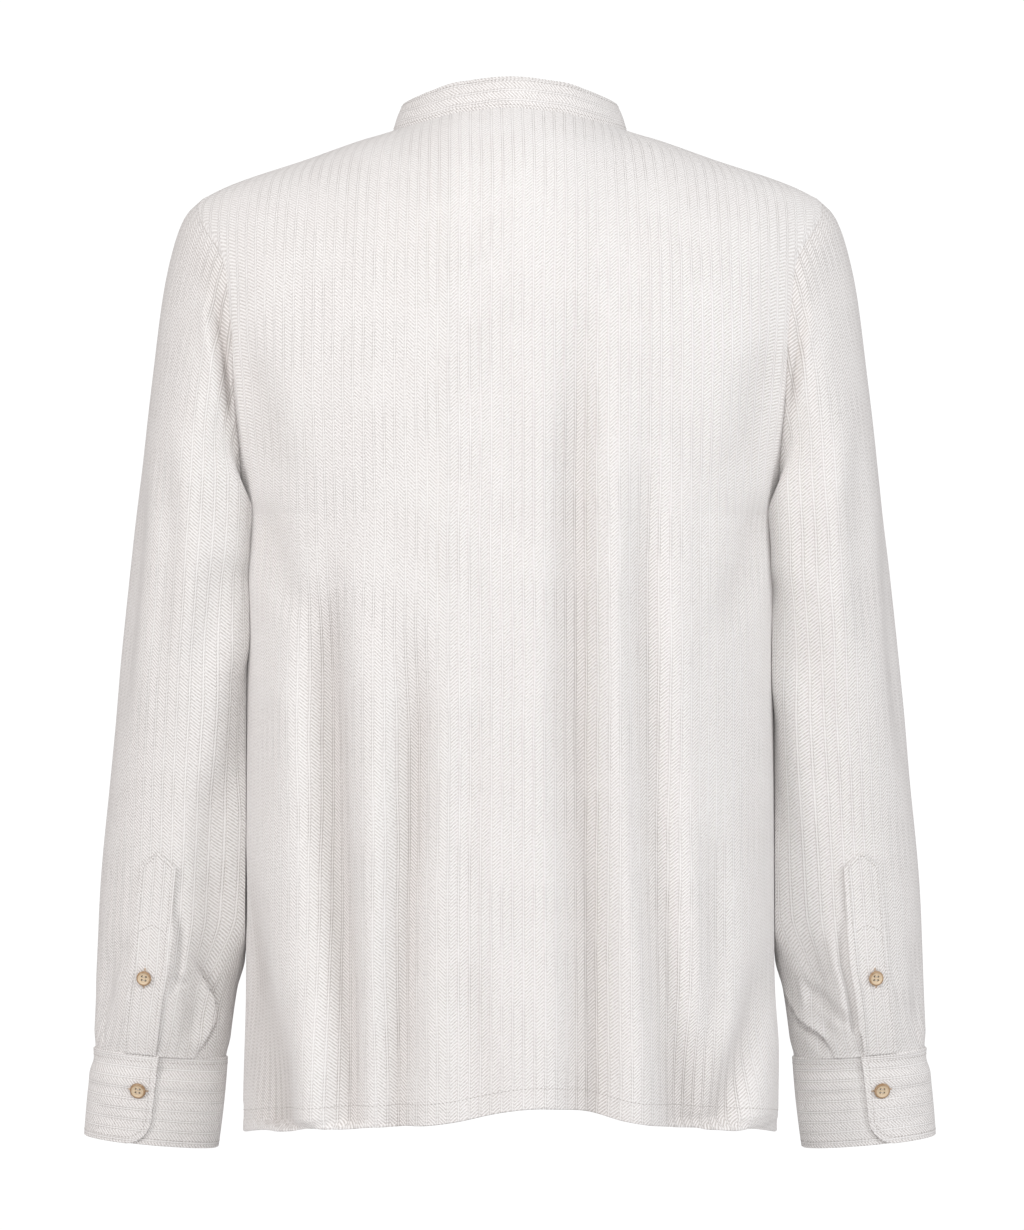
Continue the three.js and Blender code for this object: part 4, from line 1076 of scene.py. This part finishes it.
def gridAt(grid, row, column):
    # Bilinear value of a grid at fractional rows and columns
    i = np.clip(np.floor(row).astype(int), 0, grid.shape[0] - 2)
    j = np.clip(np.floor(column).astype(int), 0, grid.shape[1] - 2)
    a, b = (np.asarray(row) - i)[:, None], (np.asarray(column) - j)[:, None]
    top = grid[i, j] * (1 - b) + grid[i, j + 1] * b
    low = grid[i + 1, j] * (1 - b) + grid[i + 1, j + 1] * b
    return top * (1 - a) + low * a


def lineOn(points, normals, rowsAt, columnsAt, samples=800):
    # Points and normals along a line given by rows and columns at even shares of it
    t = np.linspace(0, 1, samples)
    given = np.linspace(0, 1, len(rowsAt))
    row, column = np.interp(t, given, rowsAt), np.interp(t, given, columnsAt)
    return gridAt(points, row, column), unit(gridAt(normals, row, column))


def stitchRows(name, lines, material, slotName="trim_cloth", size=thread):
    # Each stitch is a stretched octahedron: two ends on the line and four corners about its middle
    shape = np.array([(0, 2, 4), (4, 2, 1), (1, 3, 4), (4, 3, 0), (2, 0, 5), (1, 2, 5), (3, 1, 5), (0, 3, 5)])
    corners, faces, first = [], [], 0
    for points, normals in lines:
        lengths = np.concatenate([[0], np.cumsum(np.linalg.norm(np.diff(points, axis=0), axis=1))])
        starts = np.arange(0.4, lengths[-1] - size["length"], size["pitch"])

        def at(values, where):
            return np.stack([np.interp(where, lengths, values[:, k]) for k in range(3)], -1)

        a, b = at(points, starts), at(points, starts + size["length"])
        middle, up = at(points, starts + size["length"] / 2), unit(at(normals, starts + size["length"] / 2))
        across = unit(np.cross(b - a, up))
        side, rise = across * size["width"] / 2, up * size["height"]
        low, high = rise * 0.2, rise * 0.4
        made = np.stack([a + low, b + low, middle + side + high, middle - side + high,
                         middle + rise * 1.3, middle - high], 1)
        corners.append(made.reshape(-1, 3))
        faces.append((shape[None] + 6 * np.arange(len(starts))[:, None, None]).reshape(-1, 3) + first)
        first += 6 * len(starts)
    every, triangles = np.concatenate(corners), np.concatenate(faces)
    a, b, c = (every[triangles[:8, k]] for k in range(3))
    if (np.cross(b - a, c - a) * ((a + b + c) / 3 - every[:6].mean(0))).sum() < 0:
        triangles = triangles[:, ::-1]
    return dress(makeMesh(name, every, triangles, None, material, sharp=180), slotName)


def plainMaterial(name, colour, roughness):
    # A plain finish with a faint mottle read from the object's own coordinates
    material, tree, shader = newMaterial(name, roughness, 0.25)
    place = tree.nodes.new("ShaderNodeTexCoord").outputs["Object"]
    share = rampNode(tree, noiseNode(tree, place, 900.0), 0.3, 0.7, 0.0, 0.25)
    darker = tuple(0.8 * v for v in colour)
    tree.links.new(mixColour(tree, share, colour, darker), shader.inputs["Base Color"])
    return material


# The thread's dark colour is partly painted shade for the pits along the stitches
threadWithPaintedShade = plainMaterial("thread", thread["colour"], 0.8)
hemRow = float(np.interp((body["hemBand"] - 1.0) / body["sideSeam"], rises, np.arange(len(rises))))
backEnd, frontEnd = lastColumn(backPoints), lastColumn(frontGrids["left"][0])
stitchRows("hemStitches", [
    lineOn(backPoints, backNormals, [hemRow, hemRow], [1.5, backEnd - 1.5]),
    lineOn(*frontGrids["left"], [hemRow, hemRow], [18, frontEnd - 1.5]),
    lineOn(*frontGrids["right"], [hemRow, hemRow], [1.5, frontEnd - 12]),
], threadWithPaintedShade, "body_cloth")

bandRows, bandColumns = lastRow(bandPoints), lastColumn(bandPoints)
stitchRows("bandStitches", [
    lineOn(bandPoints, bandNormals, [1.2, 1.2], [2, bandColumns - 2], 2000),
    lineOn(bandPoints, bandNormals, [bandRows - 1.4, bandRows - 1.4], [3, bandColumns - 3], 2000),
], threadWithPaintedShade)


def cuffLine(inset):
    # Down the flap's edge, round its corner and along the bottom, all by the same inset
    columns = np.arange(len(cuffAway), dtype=float)
    radius = cuff["corner"] - inset
    left = np.clip(cuff["corner"] - cuffAway, 0, radius)
    pathLift = (cuff["corner"] - np.sqrt(radius ** 2 - left ** 2)) / cuff["height"]
    pathLift = np.where(cuffAngles > 0, pathLift, inset / cuff["height"])
    row = (1 - pathLift) / (1 - cuffLift) * lastRow(cuffPoints)
    flap = cuff["flapColumns"]
    begin = float(np.interp(inset, cuffAway[:flap], columns[:flap]))
    end = len(cuffAway) - 1 - inset / cuff["columnWidth"]
    keep = (columns > begin) & (columns < end)
    bottomRows, bottomColumns = row[keep], columns[keep]
    topRow = inset / cuff["height"] * lastRow(cuffPoints)
    downEdge = (np.linspace(topRow, bottomRows[0], 30), np.full(30, begin))
    return [downEdge, (bottomRows, bottomColumns), (np.full(30, topRow), np.linspace(begin, end, 30))]


for name, sign, _ in sides:
    form = mirrorX(cuffPoints, sign), mirrorX(cuffNormals, sign)
    lines = [lineOn(*form, r, c, 1600) for r, c in cuffLine(cuff["stitchInset"])]
    stitchRows("cuffStitches" + name.capitalize(), lines, threadWithPaintedShade)
    points, normals = placketGrids[name]
    rows, columns = lastRow(points), lastColumn(points)
    share = (placket["crossStitch"] - placket["stitchFrom"]) / (placket["end"] - placket["stitchFrom"])
    cross, low, high = share * rows, placket["stitchInset"], columns - placket["stitchInset"]
    lines = [
        lineOn(points, normals, [rows, 1.5, 0.8, 1.5, rows], [low, low, columns / 2, high, high]),
        lineOn(points, normals, [cross, cross], [low, high]),
    ]
    stitchRows("placketStitches" + name.capitalize(), lines, threadWithPaintedShade)

rows, columns = lastRow(stripPoints), lastColumn(stripPoints)
stitchRows("frontStitches", [
    lineOn(stripPoints, stripNormals, [0.5, rows - 0.5], [column, column], 2500)
    for column in (3, columns - 3)
], threadWithPaintedShade)
print("stitching made")

# Buttons: a turned dish with four holes, sewn through, and a bound buttonhole beneath

button = {
    "cuffRadius": 5.7, "placketRadius": 5.3, "height": 2.5, "lift": 0.25,
    "holeSpread": 1.3, "holeRadius": 0.72, "holeDepth": 1.6, "frontFirst": -92.0, "frontPitch": 88.0,
    "colour": (0.36, 0.22, 0.115), "dishColour": (0.70, 0.56, 0.39), "holeShadeColour": (0.03, 0.02, 0.014),
    "threadColour": (0.72, 0.64, 0.54), "threadRadius": 0.14, "threadApart": 0.18,
    "boundColour": (0.66, 0.53, 0.42), "boundLength": 14.4, "boundHalf": 0.7, "boundRadius": 0.34,
}
buttonTop = smoothCurve(
    [0, 0.5, 0.6, 0.7, 0.79, 0.9, 0.97, 1.0],
    [0.70, 0.72, 0.78, 0.93, 1.0, 0.96, 0.78, 0.45])


def endFaces(grid):
    # The first and the last ring of a grid that wraps, as one face each
    rows, columns = grid.shape[:2]
    ends = np.arange(columns), np.arange(columns) + (rows - 1) * columns
    return [ends[0].tolist(), ends[1][::-1].tolist()]


def frameOf(normal, across):
    # Two directions in the button's plane, the first as close to the given one as it can be
    first = unit(across - normal * (across @ normal))
    return first, np.cross(normal, first)


def buttonMaterial():
    # Colour from the distance to the middle, with faint swirls; the holes get a painted shade, near black
    material, tree, shader = newMaterial("buttonHorn", 0.38, 0.5)
    outward, pit = splitNode(tree, ownPattern(tree))
    place = tree.nodes.new("ShaderNodeTexCoord").outputs["Object"]
    swirl = rampNode(tree, noiseNode(tree, place, 220.0, distortion=1.5), 0.35, 0.65, 0.0, 0.25)
    colour = mixColour(tree, rampNode(tree, outward, 0.0007, 0.00082), button["dishColour"], button["colour"])
    colour = mixColour(tree, swirl, colour, button["dishColour"])
    # Painted shade: the pits of the four holes turn near black
    colour = mixColour(tree, rampNode(tree, pit, 0.0003, 0.0007), colour, button["holeShadeColour"])
    tree.links.new(colour, shader.inputs["Base Color"])
    return material


buttonHorn = buttonMaterial()
buttonThread = plainMaterial("buttonThread", button["threadColour"], 0.75)
boundThread = plainMaterial("buttonholeThread", button["boundColour"], 0.8)


def addButton(name, node, radius, place, normal, across):
    # Rings of the profile turned round the middle; round pits with soft walls make the four holes
    spread, hole = button["holeSpread"], button["holeRadius"]
    inner = np.linspace(0.06, spread * 1.42 + hole * 1.3, 24)
    ring = np.concatenate([inner, np.linspace(inner[-1], radius, 16)[1:]])
    turn = np.linspace(0, 2 * math.pi, 96, endpoint=False)
    r, a = np.meshgrid(ring, turn, indexing="ij")
    x, y = r * np.cos(a), r * np.sin(a)
    pit = np.zeros_like(x)
    for cx, cy in ((1, 1), (1, -1), (-1, 1), (-1, -1)):
        gap = np.hypot(x - cx * spread, y - cy * spread)
        pit = np.maximum(pit, 1 - smoothStep(gap, hole * 0.75, hole * 1.15))
    z = button["height"] * buttonTop(r / radius) - button["holeDepth"] * pit
    under = np.array([[radius * 0.86, 0.12], [radius * 0.78, 0.0], [0.06, 0.0]])
    low = np.stack([np.outer(under[:, 0], np.cos(turn)), np.outer(under[:, 0], np.sin(turn)),
                    np.repeat(under[:, 1:], len(turn), 1)], -1)
    local = np.concatenate([np.stack([x, y, z], -1), low])
    first, second = frameOf(normal, np.asarray(across, float))
    points = place + normal * button["lift"]
    points = points + local[..., :1] * first + local[..., 1:2] * second + local[..., 2:] * normal
    faces = quadGrid(len(local), len(turn), True)
    flat = points.reshape(-1, 3)
    if signedVolume(flat - place, faces) < 0:
        faces = faces[:, ::-1]
    share = np.concatenate([r / radius, np.ones((3, len(turn)))])
    pits = np.concatenate([pit, np.zeros((3, len(turn)))])
    pattern = np.stack([share.ravel(), pits.ravel()], -1)
    made = makeMesh(name, flat, faces.tolist() + endFaces(local), pattern, buttonHorn, sharp=None)
    dress(made, "button", node)
    seat = place + normal * (button["lift"] + button["height"] * 0.7)
    addThread(name + "Thread", seat, normal, first, second)


def tube(path, radius, sides=8):
    # Circle of the given radius carried along a path, square to it, with flat ends
    tangent = unit(np.gradient(path, axis=0))
    helper = np.where(np.abs(tangent[:, 2:]) < 0.9, [[0, 0, 1.0]], [[1.0, 0, 0]])
    one = unit(np.cross(tangent, helper))
    two = np.cross(tangent, one)
    turn = np.linspace(0, 2 * math.pi, sides, endpoint=False)
    circle = np.cos(turn)[:, None] * one[:, None] + np.sin(turn)[:, None] * two[:, None]
    return path[:, None] + radius * circle


def joinTubes(name, tubes, material, slotName):
    # Several tubes become one piece, each closed at both ends
    corners, faces, first = [], [], 0
    for points in tubes:
        quads = quadGrid(*points.shape[:2], True)
        flat = points.reshape(-1, 3)
        if signedVolume(flat - flat.mean(0), quads) < 0:
            quads = quads[:, ::-1]
        corners.append(flat)
        faces += [[corner + first for corner in face] for face in quads.tolist() + endFaces(points)]
        first += len(flat)
    dress(makeMesh(name, np.concatenate(corners), faces, None, material, sharp=None), slotName)


def addThread(name, place, normal, first, second):
    # Two pairs of arches of thread, each from one hole to the next
    spread = button["holeSpread"]
    t = np.linspace(-1, 1, 13)
    tubes = []
    for side in (-1, 1):
        for shift in (-button["threadApart"], button["threadApart"]):
            path = (place + first * (t * spread)[:, None] + second * (side * spread + shift)
                    + normal * (0.45 * (1 - t ** 4) - 0.35)[:, None])
            tubes.append(tube(path, button["threadRadius"]))
    joinTubes(name, tubes, buttonThread, "button")


def addButtonhole(name, place, normal, across):
    # Bound edge: a flattened ring, as a tube along a stretched circle
    first, second = frameOf(normal, np.asarray(across, float))
    turn = np.linspace(0, 2 * math.pi, 72)
    along = button["boundLength"] / 2 * np.sign(np.cos(turn)) * np.abs(np.cos(turn)) ** 0.7
    path = place + first * along[:, None] + second * (button["boundHalf"] * np.sin(turn))[:, None]
    joinTubes(name, [tube(path[:-1], button["boundRadius"], 6)], boundThread, "trim_cloth")


def addFastening(prefix, suffix, node, radius, seat, facing, buttonAcross, holeAcross):
    addButton(prefix + "Button" + suffix, node, radius, seat, facing, buttonAcross)
    addButtonhole(prefix + "Buttonhole" + suffix, seat, facing, holeAcross)


def seatOn(points, normals, row, column):
    # Place and facing at one fractional row and column of a grid
    row, column = np.array([float(row)]), np.array([float(column)])
    return gridAt(points, row, column)[0], unit(gridAt(normals, row, column)[0])


cuffColumn = np.interp(-cuff["buttonAngle"], -cuffAngles, np.arange(len(cuffAngles)))
cuffRow = cuff["buttonDown"] / cuff["height"] * lastRow(cuffPoints)
for name, sign, _ in sides:
    side = name.capitalize()
    point, normal = sleeveSurface(np.array(placket["buttonShare"]), np.array(placket["buttonAngle"]), name)
    seat = mirrorX(point + normal * (placket["lift"] + cloth["stripWall"]), sign)
    addFastening("sleeve", side, "sleeve_button_" + name, button["placketRadius"], seat,
                 mirrorX(normal, sign), (1, 0, 0.1), (0.12 * sign, 0, -1))
    seat, facing = (mirrorX(value, sign) for value in seatOn(cuffPoints, cuffNormals, cuffRow, cuffColumn))
    addFastening("cuff", side, "cuff_button_" + name, button["cuffRadius"], seat, facing,
                 (1, 0, 0.08), (1, 0, 0.05 * sign))

stripMiddle = lastColumn(stripPoints) // 2
for k in range(6):
    z = button["frontFirst"] - button["frontPitch"] * k
    row = np.interp(z, stripPoints[:, stripMiddle, 2], np.arange(len(stripPoints)))
    seat, facing = seatOn(stripPoints, stripNormals, row, stripMiddle)
    addFastening("front", str(k + 1), f"front_button_{k + 1}", button["cuffRadius"], seat, facing,
                 (1, 0, 0), (0, 0, 1))

seat, facing = seatOn(bandPoints, bandNormals, bandRows / 2, np.argmin(np.abs(bandX[:100])))
addFastening("collar", "", "collar_button", button["cuffRadius"], seat, facing, (1, 0, 0), (1, 0, 0))
print("buttons made")


# What each cloth piece was cut to: width and length, and its area where the cut isn't a rectangle, in metres

cuts = {
    "backPanel": {"flat": (0.512, 0.77), "area": 0.352, "with": ["hemStitches"]},
    "frontLeft": {"flat": (0.28, 0.765), "area": 0.178},
    "frontRight": {"flat": (0.28, 0.765), "area": 0.178},
    "frontPlacket": {"flat": (0.034, 0.665), "on": ["frontLeft"], "with": ["frontStitches"]},
    "collarBand": {"flat": (0.503, 0.022), "on": ["backPanel"],
                   "with": ["bandStitches", "collarButton", "collarButtonThread", "collarButtonhole"]},
}
for k in range(1, 7):
    cuts["frontPlacket"]["with"] += [f"frontButton{k}", f"frontButton{k}Thread", f"frontButtonhole{k}"]
for side in ("Left", "Right"):
    cuts["sleeve" + side] = {"flat": (0.385, 0.60), "area": 0.176, "on": ["backPanel"]}
    cuts["cuff" + side] = {"flat": (0.281, 0.063), "on": ["sleeve" + side], "with": [
        "cuffStitches" + side, "cuffButton" + side, f"cuffButton{side}Thread", "cuffButtonhole" + side]}
    cuts["sleevePlacket" + side] = {"flat": (0.028, 0.144), "on": ["sleeve" + side], "with": [
        "placketStitches" + side, "sleeveButton" + side, f"sleeveButton{side}Thread",
        "sleeveButtonhole" + side]}


# Floor, light and camera

stage = {
    "floorSize": 3.6, "floorZ": -1.45, "floorColour": (0.86, 0.86, 0.86),
    "worldColour": (1.0, 0.96, 0.95, 1), "worldStrength": 0.44, "shownStrength": 1.05,
    "lensLength": 117.07, "cameraPlace": (-0.0014, 2.8, -0.3395),
}
middle = (0, 0, -0.35)
lights = {
    "key": {"place": (0, 2.8, 1.4), "aim": middle, "size": 0.9, "power": 30, "tint": (1.0, 1.0, 0.99)},
    "top": {"place": (0, 0.7, 3.0), "aim": (0, 0, 0), "size": 1.2, "power": 4.5, "tint": (1.0, 1.0, 1.0)},
    "leftSide": {"place": (2.4, 2.1, 0.4), "aim": middle, "size": 1.1, "power": 27, "tint": (1.0, 0.96, 0.95)},
    "rightSide": {"place": (-2.4, 2.1, 0.4), "aim": middle, "size": 1.1, "power": 28,
                  "tint": (0.97, 0.985, 1.01)},
}


def makeFloor():
    size, z = stage["floorSize"], stage["floorZ"]
    mesh = bpy.data.meshes.new("floor")
    corners = [(-size, -size, z), (size, -size, z), (size, size, z), (-size, size, z)]
    mesh.from_pydata(corners, [], [(0, 1, 2, 3)])
    mesh.materials.append(plainMaterial("paleFloor", stage["floorColour"], 0.9))
    makeObject("floor", mesh)


def addLight(name, place, aim, size, power, tint):
    lamp = bpy.data.lights.new(name, "AREA")
    lamp.shape = "DISK"
    lamp.size = size
    lamp.energy = power
    lamp.color = tint
    made = makeObject(name, lamp)
    made.location = place
    direction = Vector(aim) - Vector(place)
    made.rotation_euler = direction.to_track_quat("-Z", "Y").to_euler()


def makeWorld():
    # A soft tinted light all round, which the camera sees as plain white
    world = bpy.data.worlds.new("studio")
    bpy.context.scene.world = world
    world.use_nodes = True
    tree = world.node_tree
    background, shown = tree.nodes["Background"], tree.nodes.new("ShaderNodeBackground")
    background.inputs["Color"].default_value = stage["worldColour"]
    background.inputs["Strength"].default_value = stage["worldStrength"]
    shown.inputs["Color"].default_value = (1, 1, 1, 1)
    shown.inputs["Strength"].default_value = stage["shownStrength"]
    mixed = tree.nodes.new("ShaderNodeMixShader")
    rays = tree.nodes.new("ShaderNodeLightPath")
    for k, socket in enumerate((rays.outputs["Is Camera Ray"], background.outputs[0], shown.outputs[0])):
        tree.links.new(socket, mixed.inputs[k])
    tree.links.new(mixed.outputs[0], tree.nodes["World Output"].inputs["Surface"])


makeFloor()
makeWorld()
for name, light in lights.items():
    addLight(name, **light)

lens = bpy.data.cameras.new("camera")
lens.lens = stage["lensLength"]
lens.sensor_width = 36
camera = makeObject("camera", lens)
camera.location = stage["cameraPlace"]
camera.rotation_euler = (math.radians(90), 0, math.radians(180))
bpy.context.scene.camera = camera
bpy.context.scene.view_settings.view_transform = "Standard"
print("floor, lights and camera made")
